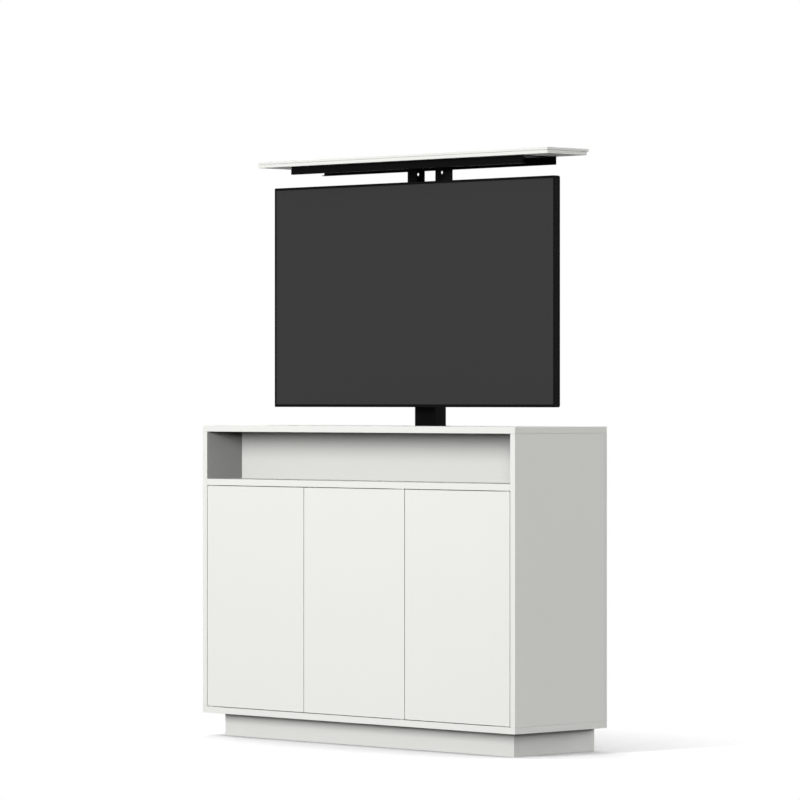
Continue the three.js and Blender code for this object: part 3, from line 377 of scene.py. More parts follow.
# %% One material for each slot
for node, piece in frame["nodes"].items():
    piece.data.materials.clear()
    piece.data.materials.append(materials[slot_of_node[node]])
print(len(materials), "finishes on", len(frame["nodes"]), "pieces")

# %% [markdown]
# ## Picking a piece and applying a modifier
#
# An operator works on all that is selected, and the imported pieces come in selected. So one piece is picked
# alone before each step. A modifier could stay live on a piece, but what is applied is in the mesh for
# good, and the mesh is what an export carries.


# %% One piece at a time
def only(piece):
    bpy.ops.object.select_all(action="DESELECT")
    piece.select_set(True)
    bpy.context.view_layer.objects.active = piece


def applied(piece, kind, **settings):
    only(piece)
    modifier = piece.modifiers.new(kind.lower(), kind)
    for key, value in settings.items():
        setattr(modifier, key, value)
    bpy.ops.object.modifier_apply(modifier=modifier.name)


def carved(piece, cutter):
    applied(piece, "BOOLEAN", operation="DIFFERENCE", object=cutter, solver="EXACT")
    bpy.data.objects.remove(cutter)


# %% [markdown]
# ## Edges that catch the light
#
# A sanded and lacquered board has no knife edge. Its arris is broken by half a millimetre, and that small
# round is what draws the thin bright and dark lines between boards. A shader can fake such an edge, but an
# exported mesh loses it, so the round is modelled: every edge that is sharper than a given angle gets a
# bevel, and the normals are weighted by area so that the flats stay flat. Where a bevel runs out at a notch
# it can push a corner a hair past the face of the board, so every point is brought back into the board's
# own box.

# %% Broken edges
sharp_angle = math.radians(32)
bevel_steps = 2
face_weight = 50


def softened(piece, width, least_angle=sharp_angle):
    applied(piece, "BEVEL", width=width, segments=bevel_steps, limit_method="ANGLE", angle_limit=least_angle)
    only(piece)
    bpy.ops.object.shade_smooth()
    applied(piece, "WEIGHTED_NORMAL", mode="FACE_AREA", weight=face_weight, keep_sharp=False)


def kept_within(piece, low, high):
    for vertex in piece.data.vertices:
        for axis in range(3):
            vertex.co[axis] = min(max(vertex.co[axis], low[axis]), high[axis])


# %% [markdown]
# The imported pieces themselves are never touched. A copy of each is cleaned of its loose triangles: points
# that lie together are merged, and edges between faces of one plane are dissolved, because a bevel can only
# follow an edge that two faces share. The dressed copy rides on the same body, wears the same finish and
# then stands for its node.

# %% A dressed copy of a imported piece
flat_angle = math.radians(1)
weld_distance = 0.01 * MM


def copied(node, name):
    source = frame["nodes"][node]
    piece = bpy.data.objects.new(name, source.data.copy())
    scene.collection.objects.link(piece)
    only(piece)
    bpy.ops.object.mode_set(mode="EDIT")
    bpy.ops.mesh.select_all(action="SELECT")
    bpy.ops.mesh.remove_doubles(threshold=weld_distance)
    bpy.ops.mesh.dissolve_limited(angle_limit=flat_angle)
    bpy.ops.object.mode_set(mode="OBJECT")
    return piece


def settled(piece, body, slot):
    piece.data.materials.clear()
    piece.data.materials.append(materials[slot])
    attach(piece, body)


def dressed(node, width, cutter=None, least_angle=sharp_angle):
    piece = copied(node, node + "_finished")
    if cutter:
        carved(piece, cutter)
    softened(piece, width, least_angle)
    kept_within(piece, *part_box(node))
    settled(piece, body_of_node[node], slot_of_node[node])
    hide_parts(node)
    return piece


# %% [markdown]
# ## Shaping by hand, in code
#
# The small parts start from a cube or a cylinder, added at its size and place. Typed coordinates would give
# the same shapes, but this way each line reads as one stroke of modelling. The place is then applied, so
# that the object sits at the origin and its place is in its mesh.

# %% Starting shapes
round_sides = 24
fine_sides = 32


def block(name, low, high):
    bpy.ops.object.select_all(action="DESELECT")
    bpy.ops.mesh.primitive_cube_add(size=1, location=(Vector(low) + Vector(high)) / 2)
    piece = bpy.context.object
    piece.name = name
    piece.scale = Vector(high) - Vector(low)
    bpy.ops.object.transform_apply(location=True, rotation=True, scale=True)
    return piece


def disc(name, base, radius, rise, direction=(0, 0, 1), sides=round_sides):
    bpy.ops.object.select_all(action="DESELECT")
    bpy.ops.mesh.primitive_cylinder_add(
        vertices=sides,
        radius=radius,
        depth=rise,
        location=Vector(base) + Vector(direction) * rise / 2,
        rotation=Vector((0, 0, 1)).rotation_difference(Vector(direction)).to_euler(),
    )
    piece = bpy.context.object
    piece.name = name
    bpy.ops.object.transform_apply(location=True, rotation=True, scale=True)
    return piece


# %% [markdown]
# A starting shape becomes a part in edit mode. Its faces are chosen by the way they look, and then inset,
# pushed or rounded with the tools that a hand would use. They could be chosen by their numbers, but those
# change with the number of sides, and the direction doesn't.

# %% Work on the faces that look one way
facing_limit = 0.9


def on_faces(piece, direction, work):
    only(piece)
    bpy.context.tool_settings.mesh_select_mode = (False, False, True)
    bpy.ops.object.mode_set(mode="EDIT")
    bpy.ops.mesh.select_all(action="DESELECT")
    shape = bmesh.from_edit_mesh(piece.data)
    for face in shape.faces:
        face.select = face.normal.dot(Vector(direction)) > facing_limit
    shape.select_flush_mode()
    bmesh.update_edit_mesh(piece.data)
    work()
    bpy.ops.object.mode_set(mode="OBJECT")


# %% [markdown]
# What repeats is modelled once, looking up at the origin. Copies of it, each with its own mesh, are leant
# towards the face that they sit on and moved to their places. Each is also turned 0.9 radians further than
# the last, because no two screws stop at the same angle. Copies that hold the same piece are joined, since
# they always move together.

# %% Copies set at their places
turn_step = 0.9


def joined(name, pieces):
    bpy.ops.object.select_all(action="DESELECT")
    for piece in pieces:
        piece.select_set(True)
    bpy.context.view_layer.objects.active = pieces[0]
    bpy.ops.object.join()
    pieces[0].name = name
    return pieces[0]


def set_at(pattern, name, places, direction):
    lean = Vector((0, 0, 1)).rotation_difference(Vector(direction)).to_matrix().to_4x4()
    copies = []
    for index, place in enumerate(places):
        copy = pattern.copy()
        copy.data = pattern.data.copy()
        copy.data.transform(Matrix.Translation(place) @ lean @ Matrix.Rotation(turn_step * index, 4, "Z"))
        scene.collection.objects.link(copy)
        copies.append(copy)
    return joined(name, copies)


# %% [markdown]
# ## Screws and bolts
#
# A pan head screw is a low disc with a round shoulder and a cross sunk into it. Its rim is rounded by a
# bevel of the top face, and two blades, one across the other, are cut out of it. A real cross tapers, but
# on a head of seven millimetres a straight one looks the same and costs half the faces. A hexagon bolt is a
# six sided disc with a broken rim on a round washer. Every screw on the cabinet is a copy of one of these
# two.

# %% The patterns of a screw and of a bolt
screw_radius = 3.6 * MM
screw_rise = 1.4 * MM
shoulder_share = 0.6
shoulder_steps = 3
cross_length_share = 0.58
cross_width_share = 0.13
cross_floor_share = 0.4
bolt_radius = 5.8 * MM
bolt_rise = 4.0 * MM
bolt_sides = 6
bolt_rim_share = 0.15
washer_share = 1.35
washer_rise_share = 0.3
washer_rim_share = 0.3
rim_steps = 2
smooth_angle = math.radians(35)


def rounded_rim(piece, width, segments):
    on_faces(piece, (0, 0, 1), lambda: bpy.ops.mesh.bevel(offset=width, segments=segments, affect="EDGES"))


def smoothed(piece):
    only(piece)
    bpy.ops.object.shade_smooth_by_angle(angle=smooth_angle)


def cross_screw():
    head = disc("screw_pattern", (0, 0, 0), screw_radius, screw_rise)
    rounded_rim(head, shoulder_share * screw_rise, shoulder_steps)
    long_half = cross_length_share * screw_radius
    short_half = cross_width_share * screw_radius
    for x, y in ((long_half, short_half), (short_half, long_half)):
        carved(head, block("blade", (-x, -y, cross_floor_share * screw_rise), (x, y, 2 * screw_rise)))
    smoothed(head)
    return head


def hexagon_bolt():
    washer_rise = washer_rise_share * bolt_rise
    washer = disc("washer", (0, 0, 0), washer_share * bolt_radius, washer_rise)
    rounded_rim(washer, washer_rim_share * washer_rise, rim_steps)
    head = disc("bolt_pattern", (0, 0, washer_rise), bolt_radius, bolt_rise, sides=bolt_sides)
    rounded_rim(head, bolt_rim_share * bolt_rise, rim_steps)
    bolt = joined("bolt_pattern", [head, washer])
    smoothed(bolt)
    return bolt


screw_pattern = cross_screw()
bolt_pattern = hexagon_bolt()
print("screw faces", len(screw_pattern.data.polygons), "bolt faces", len(bolt_pattern.data.polygons))

# %% [markdown]
# ## Screws let into the back
#
# The service cover is held along its ledge, and the back panel is screwed to the rear edges of the sides
# and to the rail behind the column. Nothing may stand proud of a back that goes against a wall, so each
# head sits in a shallow seat. The seats could be cut last, but a bevel that follows them breaks their rims
# as well, so they are cut first.

# %% Places and seats of the back screws
seat_depth = screw_rise + 0.2 * MM
seat_radius = screw_radius + 0.6 * MM
ledge_inset = 6.5 * MM
cover_end_inset = 24 * MM
cover_row_share = 0.23
side_inset = 9 * MM
side_end_inset = 45 * MM
side_screw_count = 5
rail_screw_shares = (-0.75, -0.25, 0.25, 0.75)

cover_low, cover_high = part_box("service_cover")
cover_width = cover_high[0] - cover_low[0]
cover_middle = (cover_low[2] + cover_high[2]) / 2
seat_floor = cover_high[1] - seat_depth
cover_screws = [
    (side * (cover_high[0] - ledge_inset), seat_floor, height)
    for side in (-1, 1)
    for height in (cover_low[2] + cover_end_inset, cover_middle, cover_high[2] - cover_end_inset)
]
cover_screws += [
    (side * cover_row_share * cover_width, seat_floor, height)
    for side in (-1, 1)
    for height in (cover_low[2] + ledge_inset, cover_high[2] - ledge_inset)
]

panel_low, panel_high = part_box("back_panel")
rail_low, rail_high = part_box("lift_rail")
rail_middle = (rail_low[2] + rail_high[2]) / 2
lowest_screw = panel_low[2] + side_end_inset
side_span = panel_high[2] - panel_low[2] - 2 * side_end_inset
side_heights = [
    lowest_screw + side_span * step / (side_screw_count - 1)
    for step in range(side_screw_count)
]
panel_screws = [
    (side * (panel_high[0] - side_inset), seat_floor, height)
    for side in (-1, 1)
    for height in side_heights
]
panel_screws += [(share * rail_high[0], seat_floor, rail_middle) for share in rail_screw_shares]


def seats(places):
    cutters = [disc("seat", place, seat_radius, 2 * seat_depth, (0, 1, 0)) for place in places]
    return joined("seats", cutters)


print(len(cover_screws), "cover screws,", len(panel_screws), "panel screws")

# %% [markdown]
# The lid gets a rounder edge than the case. When the lift is up its two layers are at eye height, and the
# wider arris draws the joint between them as a fine line. All boards go through the same steps, so a loop
# takes them one by one, and only the two at the back get a cutter.

# %% The boards of the case, the doors, the plinth and the lid
board_arris = 0.5 * MM
lid_arris = 1.0 * MM
boards = [node for node, slot in slot_of_node.items() if slot in ("white_lacquer", "white_back")]
back_screws = {"service_cover": cover_screws, "back_panel": panel_screws}
for node in boards:
    arris = lid_arris if node.startswith("lid_") else board_arris
    cutter = seats(back_screws[node]) if node in back_screws else None
    dressed(node, arris, cutter)
print(len(boards), "boards with broken edges")

# %% [markdown]
# Folded steel and moulded plastic have smaller rounds, about a third of a millimetre. The rear shell of the
# television is the one piece with shallow slopes, where the raised middle meets the flat rim, so there a
# much smaller angle already counts as an edge. It also gets its own grain.

# %% The metal and plastic pieces
metal_arris = 0.3 * MM
slope_angle = math.radians(12)
fine_pieces = [node for node in slot_of_node if node not in (*boards, "tv_rear_shell")]
for node in fine_pieces:
    dressed(node, metal_arris)
rear_shell = dressed("tv_rear_shell", metal_arris, least_angle=slope_angle)
rear_shell.data.materials[0] = television_back_moulding.material
print(len(fine_pieces) + 1, "fine pieces with broken edges")


# %% [markdown]
# With the seats cut, the heads can go in. One function turns copies of the pattern towards a face, joins
# them and lets them ride on the body that they belong to. It serves for all screws that follow.


# %% The screws of the back
def screwed(name, places, direction, body, slot="zinc_steel", pattern=screw_pattern):
    settled(set_at(pattern, name, places, direction), body, slot)


screwed("service_cover_screws", cover_screws, (0, 1, 0), "cabinet")
screwed("back_panel_screws", panel_screws, (0, 1, 0), "cabinet")
print(len(cover_screws) + len(panel_screws), "heads in their seats")

# %% [markdown]
# ## What a door meets
#
# Each door turns on two knife pivots. The leaf that turns is part of the door, and its fixed half is a thin
# steel plate on the board above or below, pierced by the washer that carries the door. The plate could be
# extruded from a drawn outline with a hole, but a block with the washer's place cut out of it gives the
# same in two strokes. Its edges are then broken like those of any sheet.

# %% Fixed pivot leaves
leaf_end = 7 * MM
leaf_front = 3 * MM
leaf_rise = 0.8 * MM
washer_place = 4.2 * MM
washer_height = 1.5 * MM
small_arris = 0.2 * MM
door_hands = {"left": 1, "middle": -1, "right": -1}
case_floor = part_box("bottom_board")[1][2] - washer_height
niche_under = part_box("niche_floor")[0][2] + washer_height


def fixed_leaf(name, door, hand, bottom):
    low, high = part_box(door + "_door_lower_pivot")
    pivot_x = low[0] + leaf_end if hand > 0 else high[0] - leaf_end
    bore_base = (pivot_x, low[1] + leaf_front, bottom - leaf_rise)
    plate = block(name, (low[0], low[1], bottom), (high[0], high[1], bottom + leaf_rise))
    carved(plate, disc("bore", bore_base, washer_place, 3 * leaf_rise, sides=fine_sides))
    softened(plate, small_arris)
    settled(plate, "cabinet", "zinc_steel")


for door, hand in door_hands.items():
    fixed_leaf(door + "_fixed_lower_leaf", door, hand, case_floor)
    fixed_leaf(door + "_fixed_upper_leaf", door, hand, niche_under - leaf_rise)
print("case floor at", round(case_floor / MM, 2), "and niche floor from", round(niche_under / MM, 2))

# %% [markdown]
# The sprung plunger of a push latch would soon wear a hollow in the lacquer, so it strikes a thin steel
# plate on the back of the door, held by two small screws. They are the screw pattern again, scaled down in
# its mesh, so that the object itself stays unscaled.

# %% Strike plates
strike_half = (13 * MM, 7 * MM)
strike_rise = 0.5 * MM
strike_screw_place = 9.6 * MM
small_screw_share = 0.55

small_screw = screw_pattern.copy()
small_screw.data = screw_pattern.data.copy()
small_screw.data.transform(Matrix.Scale(small_screw_share, 4))
scene.collection.objects.link(small_screw)
for door in door_hands:
    low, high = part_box(door + "_latch_plunger")
    centre_x, level = (low[0] + high[0]) / 2, (low[2] + high[2]) / 2
    door_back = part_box(door + "_door")[1][1]
    plate_face = door_back + strike_rise
    plate = block(
        door + "_strike_plate",
        (centre_x - strike_half[0], door_back, level - strike_half[1]),
        (centre_x + strike_half[0], plate_face, level + strike_half[1]),
    )
    softened(plate, small_arris)
    settled(plate, door + "_door_leaf", "zinc_steel")
    places = [(centre_x + side * strike_screw_place, plate_face, level) for side in (-1, 1)]
    screwed(door + "_strike_screws", places, (0, 1, 0), door + "_door_leaf", pattern=small_screw)
print(len(door_hands), "strike plates")

# %% [markdown]
# Round grey buffers on the front edges of the partitions keep the doors from rattling, one near each end of
# the edge that a door closes on. Half a sphere would meet the door at a point only, so a buffer is a disc
# whose rim is rounded by one wide bevel of four steps, which leaves its face flat.

# %% Door buffers
buffer_radius = 3.4 * MM
buffer_rise = 5.2 * MM
buffer_drop = 30 * MM
buffer_offset = 5 * MM
buffer_rim_share = 0.3
buffer_rim_steps = 4

buffer_pattern = disc("buffer_pattern", (0, 0, 0), buffer_radius, buffer_rise)
rounded_rim(buffer_pattern, buffer_rim_share * buffer_radius, buffer_rim_steps)
smoothed(buffer_pattern)
door_low, door_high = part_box("middle_door")
buffer_places = []
for partition, door_edge, sides in (
    ("left_partition", door_low[0], (-1, 1)),
    ("right_partition", door_high[0], (1,)),
):
    low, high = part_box(partition)
    for side in sides:
        for height in (low[2] + buffer_drop, high[2] - buffer_drop):
            buffer_places.append((door_edge + side * buffer_offset, low[1], height))
screwed("door_buffers", buffer_places, (0, -1, 0), "cabinet", "grey_plastic", buffer_pattern)
print(len(buffer_places), "buffers")

# %% [markdown]
# ## Fastenings of the lift
#
# Two folded brackets hold the column to its rail, with screws through the flange into the wood and through
# the web into the tube. The uprights of the lid stand on the crosshead with hexagon bolts, because they
# carry weight and are tightened with a spanner. All places are read from the boxes of the pieces, so the
# heads follow if a piece moves.

# %% Screws of the brackets and bolts of the uprights
bracket_sheet = 3 * MM
bracket_screw_inset = 18 * MM
upright_sheet = 3 * MM
upright_bolt_inset = 9.5 * MM

for side, outward in (("left", -1), ("right", 1)):
    low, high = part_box(side + "_column_bracket")
    outer_x, inner_x = (low[0], high[0]) if outward < 0 else (high[0], low[0])
    flange_x = outer_x - outward * bracket_screw_inset
    web_x = inner_x + outward * bracket_sheet
    heights = (low[2] + bracket_screw_inset, high[2] - bracket_screw_inset)
    flange = [(flange_x, high[1] - bracket_sheet, height) for height in heights]
    web = [(web_x, low[1] + bracket_screw_inset, height) for height in heights]
    screwed(side + "_bracket_screws", flange, (0, -1, 0), "cabinet")
    screwed(side + "_bracket_side_screws", web, (outward, 0, 0), "cabinet")

    low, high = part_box(side + "_upright")
    foot_x, foot_y = (low[0] + high[0]) / 2, (low[1] + high[1]) / 2
    foot_face = low[2] + upright_sheet
    bolts = [(foot_x, foot_y + end * upright_bolt_inset, foot_face) for end in (-1, 1)]
    screwed(side + "_upright_bolts", bolts, (0, 0, 1), "carriage", "zinc_steel", bolt_pattern)
print(2 * len(flange + web), "bracket screws and", 2 * len(bolts), "upright bolts")

# %% [markdown]
# The gear housing is closed by four screws at its corners. The end cap of the motor has three, set in a
# ring round a small bearing cap. The cap is a disc whose end is inset and pressed in a little. Cutting the
# hollow with a second disc would do too, but an inset keeps the rim in one piece with the wall.

# %% Screws of the drive
corner_inset = 6.5 * MM
cap_screw_ring = 16 * MM
cap_screw_count = 3
bearing_radius = 7.5 * MM
bearing_rise = 1.6 * MM
bearing_rim = 2.4 * MM
bearing_sink = 0.8 * MM

low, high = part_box("gear_housing")
gear_screws = [
    (x, low[1], height)
    for x in (low[0] + corner_inset, high[0] - corner_inset)
    for height in (low[2] + corner_inset, high[2] - corner_inset)
]
screwed("gear_housing_screws", gear_screws, (0, -1, 0), "cabinet")

low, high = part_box("drive_motor")
centre = Vector((high[0], (low[1] + high[1]) / 2, (low[2] + high[2]) / 2))
turns = [2 * math.pi * step / cap_screw_count for step in range(cap_screw_count)]
cap_screws = [centre + cap_screw_ring * Vector((0, math.sin(turn), math.cos(turn))) for turn in turns]
screwed("motor_cap_screws", cap_screws, (1, 0, 0), "cabinet")
bearing = disc("motor_bearing_cap", centre, bearing_radius, bearing_rise, (1, 0, 0), fine_sides)
on_faces(bearing, (1, 0, 0), lambda: bpy.ops.mesh.inset(thickness=bearing_rim, depth=-bearing_sink))
softened(bearing, small_arris)
settled(bearing, "cabinet", "zinc_steel")
print(len(gear_screws), "housing screws,", len(cap_screws), "cap screws and a bearing cap")

# %% [markdown]
# A latch hangs from the board above it by two screws, one through each flange of its housing. The lid of
# the control box is held by four, at its corners.

# %% Screws of the latches and the control box
flange_inset = 4.25 * MM
flange_thickness = 2.5 * MM
box_screw_inset = 9.1 * MM

for door in door_hands:
    low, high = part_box(door + "_latch_housing")
    places = [
        (x, (low[1] + high[1]) / 2, high[2] - flange_thickness)
        for x in (low[0] + flange_inset, high[0] - flange_inset)
    ]
    screwed(door + "_latch_screws", places, (0, 0, -1), "cabinet")

box_low, box_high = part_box("control_box")
box_screws = [
    (x, box_high[1], height)
    for x in (box_low[0] + box_screw_inset, box_high[0] - box_screw_inset)
    for height in (box_low[2] + box_screw_inset, box_high[2] - box_screw_inset)
]
screwed("control_box_screws", box_screws, (0, 1, 0), "cabinet")
print(2 * len(door_hands), "latch screws and", len(box_screws), "box screws")

# %% [markdown]
# The mains inlet of the control box is a square well with three flat pins. A pin could be a plain block,
# but its end is inset and drawn out a little, which gives it the sloped tip of a real one. A row of three
# sockets for the lift's leads sits in the top of the box: each a block whose top is inset and pushed down.

# %% Pins and sockets of the control box
pin_half = (1.0 * MM, 2.2 * MM)
pin_spacing = 7 * MM
pin_length = 9 * MM
pin_slope = 0.5 * MM
pin_tip = 0.8 * MM
pin_arris = 0.1 * MM
inlet_depth = 14 * MM
socket_size = (15 * MM, 11 * MM, 2.5 * MM)
socket_spacing = 24 * MM
socket_wall = 1.4 * MM
socket_sink = 1.8 * MM
middle_x = (box_low[0] + box_high[0]) / 2
middle_y = (box_low[1] + box_high[1]) / 2
well_top = box_low[2] + inlet_depth
width, depth, rise = socket_size

pins = []
sockets = []
for step in (-1, 0, 1):
    x = middle_x + step * pin_spacing
    pin = block(
        "pin",
        (x - pin_half[0], middle_y - pin_half[1], well_top - pin_length),
        (x + pin_half[0], middle_y + pin_half[1], well_top),
    )
    on_faces(pin, (0, 0, -1), lambda: bpy.ops.mesh.inset(thickness=pin_slope, depth=pin_tip))
    pins.append(pin)

    x = middle_x + step * socket_spacing
    socket = block(
        "socket",
        (x - width / 2, middle_y - depth / 2, box_high[2]),
        (x + width / 2, middle_y + depth / 2, box_high[2] + rise),
    )
    on_faces(socket, (0, 0, 1), lambda: bpy.ops.mesh.inset(thickness=socket_wall, depth=-socket_sink))
    sockets.append(socket)

inlet_pins = joined("inlet_pins", pins)
softened(inlet_pins, pin_arris)
settled(inlet_pins, "cabinet", "zinc_steel")
lead_sockets = joined("lead_sockets", sockets)
softened(lead_sockets, small_arris)
settled(lead_sockets, "cabinet", "grey_plastic")
print(len(pins), "pins and", len(sockets), "sockets")

# %% [markdown]
# ## The back of the television
#
# The rear shell is clipped and screwed to the bezel all round its flat rim. The screws are blackened, so
# that they hardly show. Five places along the width serve the top and the bottom row alike, written as
# shares of the half width, and one more sits in the middle of each end.

# %% Rim screws of the rear shell
rim_inset = 14 * MM
rim_depth = 11.25 * MM
rim_screw_shares = (-0.92, -0.46, 0.0, 0.46, 0.92)

shell_low, shell_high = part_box("tv_rear_shell")
rim_face = shell_low[1] + rim_depth
shell_middle = (shell_low[2] + shell_high[2]) / 2
rim_screws = [
    (share * shell_high[0], rim_face, height)
    for share in rim_screw_shares
    for height in (shell_low[2] + rim_inset, shell_high[2] - rim_inset)
]
rim_screws += [(side * (shell_high[0] - rim_inset), rim_face, shell_middle) for side in (-1, 1)]
screwed("rear_shell_screws", rim_screws, (0, 1, 0), "carriage", "black_steel")
print(len(rim_screws), "rim screws")

# %% [markdown]
# In the bay beside the fixings sit the sockets: flat ones in a thin metal shell, and a round one with a nut
# for the aerial. A shell is a block whose open face is inset and pushed in, and its tongue is a smaller
# block inside. The round one is a disc treated in the same way, over a six sided nut, with a thin core in
# the middle.

# %% Sockets of the television
bay_centre_x = 300 * MM
bay_centre_height = 240 * MM
bay_floor_depth = 9 * MM
port_width = 6 * MM
port_length = 15 * MM
port_rise = 3.5 * MM
port_pitch = 24 * MM
port_count = 4
port_wall = 0.5 * MM
port_sink = 3.0 * MM
first_port_lift = 58 * MM
tongue_half = (0.7 * MM, 5.5 * MM)
tongue_gap = 0.6 * MM
aerial_radius = 4.6 * MM
aerial_rise = 6 * MM
aerial_wall = 1.1 * MM
aerial_sink = 5 * MM
aerial_drop = 52 * MM
nut_share = 1.35
nut_rise = 1.4 * MM
nut_sides = 6
core_radius = 0.8 * MM
core_rise = 4.5 * MM
core_sides = 16

bay_floor = shell_high[1] - bay_floor_depth
bay_centre_z = shell_low[2] + bay_centre_height
shells, tongues = [], []
for step in range(port_count):
    z = bay_centre_z + first_port_lift - step * port_pitch
    shell = block(
        "port_shell",
        (bay_centre_x - port_width / 2, bay_floor, z - port_length / 2),
        (bay_centre_x + port_width / 2, bay_floor + port_rise, z + port_length / 2),
    )
    on_faces(shell, (0, 1, 0), lambda: bpy.ops.mesh.inset(thickness=port_wall, depth=-port_sink))
    shells.append(shell)
    tongue = block(
        "port_tongue",
        (bay_centre_x - tongue_half[0], bay_floor + tongue_gap, z - tongue_half[1]),
        (bay_centre_x + tongue_half[0], bay_floor + port_rise - tongue_gap, z + tongue_half[1]),
    )
    tongues.append(tongue)
aerial_place = (bay_centre_x, bay_floor, bay_centre_z - aerial_drop)
aerial = disc("aerial", aerial_place, aerial_radius, aerial_rise, (0, 1, 0), fine_sides)
on_faces(aerial, (0, 1, 0), lambda: bpy.ops.mesh.inset(thickness=aerial_wall, depth=-aerial_sink))
nut = disc("nut", aerial_place, nut_share * aerial_radius, nut_rise, (0, 1, 0), nut_sides)
core = disc("core", aerial_place, core_radius, core_rise, (0, 1, 0), core_sides)
port_shells = joined("port_shells", [*shells, aerial, nut, core])
softened(port_shells, pin_arris)
settled(port_shells, "carriage", "zinc_steel")
port_tongues = joined("port_tongues", tongues)
softened(port_tongues, pin_arris)
settled(port_tongues, "carriage", "black_plastic")
print(port_count, "flat sockets and one for the aerial")

# %% [markdown]
# The patterns lie at the origin and are no part of the cabinet. They could be hidden, but a hidden object
# is easily forgotten, so they are taken away now that every copy is made.

# %% The patterns have done their work
for pattern in (screw_pattern, small_screw, bolt_pattern, buffer_pattern):
    bpy.data.objects.remove(pattern)

# %% [markdown]
# ## Floor, light and background
#
# The photograph has a plain white ground with faint soft shadows. The floor is a wide sheet of paper. The
# lamps are kept low for the cabinet's sake, so the paper that the camera sees is brighter than real paper.
# Outside the shadows it runs out into a glowing plain white, half a metre past the ends of the cabinet, so
# there is no horizon. A glowing floor would light the cabinet from below like a lamp. Only what looks
# straight at it may see it glow, directly, in a mirror or through glass, and all other light meets a dim
# sheet.

# %% The floor
floor_size = 120.0
floor_tone = 0.08
floor_gain = 1.15
fade_start = 0.70
fade_end = 1.15


def seen_directly(nodes):
    seen = 0.0
    for ray in ("Is Camera Ray", "Is Glossy Ray", "Is Transmission Ray"):
        path = nodes.node("ShaderNodeLightPath", output=ray)
        seen = nodes.node("ShaderNodeMath", {"operation": "MAXIMUM"}, {0: seen, 1: path})
    return seen


bpy.ops.object.select_all(action="DESELECT")
bpy.ops.mesh.primitive_plane_add(size=floor_size, location=(0, 0, 0))
floor = bpy.context.object
floor.name = "floor"
paper = Finish("floor_paper", Specular_IOR_Level=0.0, Roughness=0.9, Base_Color=grey(floor_tone))
bright = paper.node("ShaderNodeBsdfDiffuse", None, {"Color": grey(floor_gain)})
dim = Wire(paper, paper.shader.outputs[0])
reach = paper.node("ShaderNodeVectorMath", {"operation": "LENGTH"}, {0: paper.place()}, "Value")
fade_span = {"Value": reach, "From Min": fade_start, "From Max": fade_end}
fade = paper.node("ShaderNodeMapRange", {"interpolation_type": "SMOOTHSTEP"}, fade_span)
plain = paper.node("ShaderNodeEmission", None, {"Color": grey(1.0), "Strength": 1.0})
ground = paper.node("ShaderNodeMixShader", None, {0: fade, 1: bright, 2: plain})
paper_mix = paper.node("ShaderNodeMixShader", None, {0: seen_directly(paper), 1: dim, 2: ground})
paper.feed(paper.tree.nodes["Material Output"], "Surface", paper_mix)
floor.data.materials.append(paper.material)
floor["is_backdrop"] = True
print("floor paper has", len(paper.tree.nodes), "nodes")

# %% [markdown]
# The world is a dim even light for matt surfaces, and plain white for the camera and for whatever mirrors
# it, so that the bright metal does not reflect a grey room.

# %% The world
ambient_strength = 0.14
world = bpy.data.worlds.new("studio")
scene.world = world
world.use_nodes = True
sky = Nodes(world.node_tree)
ambient = sky.node("ShaderNodeBackground", None, {"Color": grey(1.0), "Strength": ambient_strength})
white = sky.node("ShaderNodeBackground", None, {"Color": grey(1.0), "Strength": 1.0})
sky_mix = sky.node("ShaderNodeMixShader", None, {0: seen_directly(sky), 1: ambient, 2: white})
sky.feed(sky.tree.nodes["World Output"], "Surface", sky_mix)
print("world has", len(sky.tree.nodes), "nodes")

# %% [markdown]
# ## The lamps
#
# A lamp's level is the share of full white that it gives a white surface when it shines straight on it, so
# the levels of all lamps can be compared. A sun needs pi times its level. An area lamp grows weaker with
# distance, so it needs pi squared times its level times the distance squared. Each lamp is aimed by turning
# it to its azimuth and its elevation and moving it back along that line. A sun lights alike from any place,
# so all suns share one.


# %% Two kinds of lamp
sun_distance = 5.0
sun_target = (0, 0, 1)


def towards(azimuth, elevation):
    flat = math.cos(elevation)
    return Vector((math.sin(azimuth) * flat, -math.cos(azimuth) * flat, math.sin(elevation)))


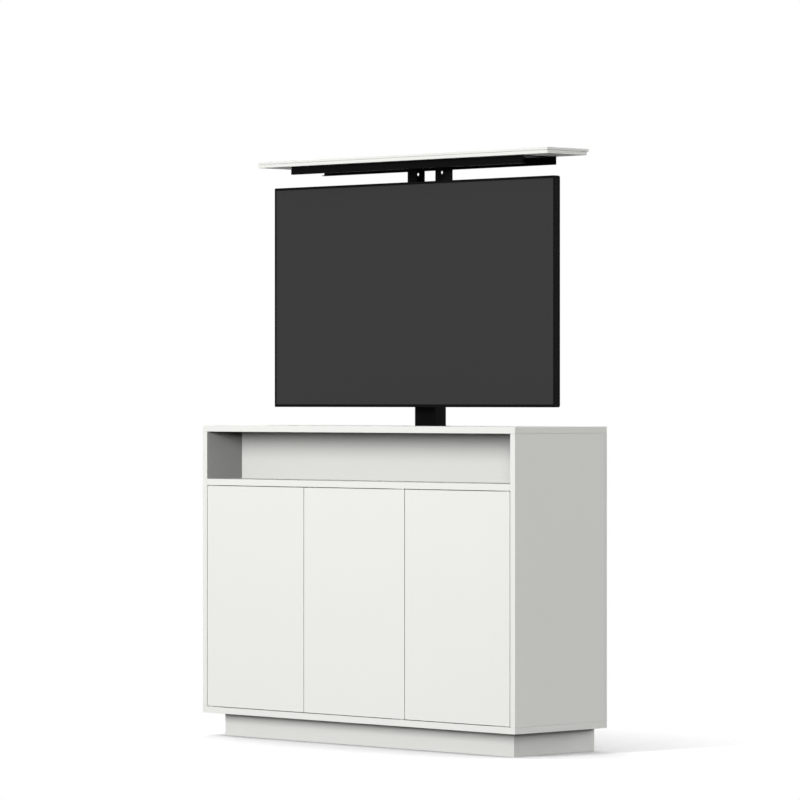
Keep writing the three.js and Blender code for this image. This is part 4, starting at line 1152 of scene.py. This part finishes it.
def lamp(kind, name, azimuth, elevation, distance, target):
    azimuth = math.radians(azimuth)
    elevation = math.radians(elevation)
    bpy.ops.object.select_all(action="DESELECT")
    bpy.ops.object.light_add(
        type=kind,
        location=Vector(target) + distance * towards(azimuth, elevation),
        rotation=(upright - elevation, 0, azimuth),
    )
    made = bpy.context.object
    made.name = name
    made.visible_camera = False
    return made


def soft_box(name, level, azimuth, elevation, distance, target, width, height):
    made = lamp("AREA", name, azimuth, elevation, distance, target)
    made.data.shape = "RECTANGLE"
    made.data.size = width
    made.data.size_y = height
    made.data.energy = level * math.pi ** 2 * distance ** 2
    print(name, "of", round(made.data.energy, 1), "watts")


def far_lamp(name, level, azimuth, elevation, spread):
    made = lamp("SUN", name, azimuth, elevation, sun_distance, sun_target)
    made.data.energy = level * math.pi
    made.data.angle = math.radians(spread)
    print(name, "at level", level)


# %% [markdown]
# A tall soft box stands before the cabinet and a little above it. Its light falls off gently from the lid
# to the plinth, and the top board throws its soft shadow into the niche. A low lamp from the front right
# reaches the left wall of the niche and draws the slanting edge of that shadow on it. A weaker lamp on
# either hand lights the sides. One from high up on the left and a broad one from overhead brighten the lid
# and the top board and lay the soft shadow on the floor. The last one lights the back.
#
# Light does not go on from one matt surface to the next. The niche of the photograph has a nearly black
# band under the top board and grows darker towards its corner, and light thrown back by its white walls
# would fill both. The even light of the world stands in for it.

# %% The lamps of the studio
soft_box(
    "front_lamp",
    level=0.73,
    azimuth=-2.5,
    elevation=17.2,
    distance=6.5,
    target=(0, 0, 0.6),
    width=0.5,
    height=3.5,
)
far_lamp("corner_lamp", level=0.225, azimuth=45, elevation=9, spread=14)
far_lamp("side_lamp", level=0.27, azimuth=104, elevation=22, spread=30)
far_lamp("left_lamp", level=0.20, azimuth=-104, elevation=22, spread=30)
far_lamp("top_lamp", level=0.28, azimuth=-65, elevation=68, spread=45)
far_lamp("high_lamp", level=0.19, azimuth=0, elevation=84, spread=100)
far_lamp("back_lamp", level=0.50, azimuth=172, elevation=18, spread=30)

scene.view_settings.view_transform = "Standard"
scene.cycles.diffuse_bounces = 0

# %% [markdown]
# ## Sizes
#
# The dressed cabinet must keep the size of the imported one. The box of the dressed cabinet is printed.

# %% The box of the dressed cabinet
low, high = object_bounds()
print("visual", [round(value, 4) for value in (*low, *high)])
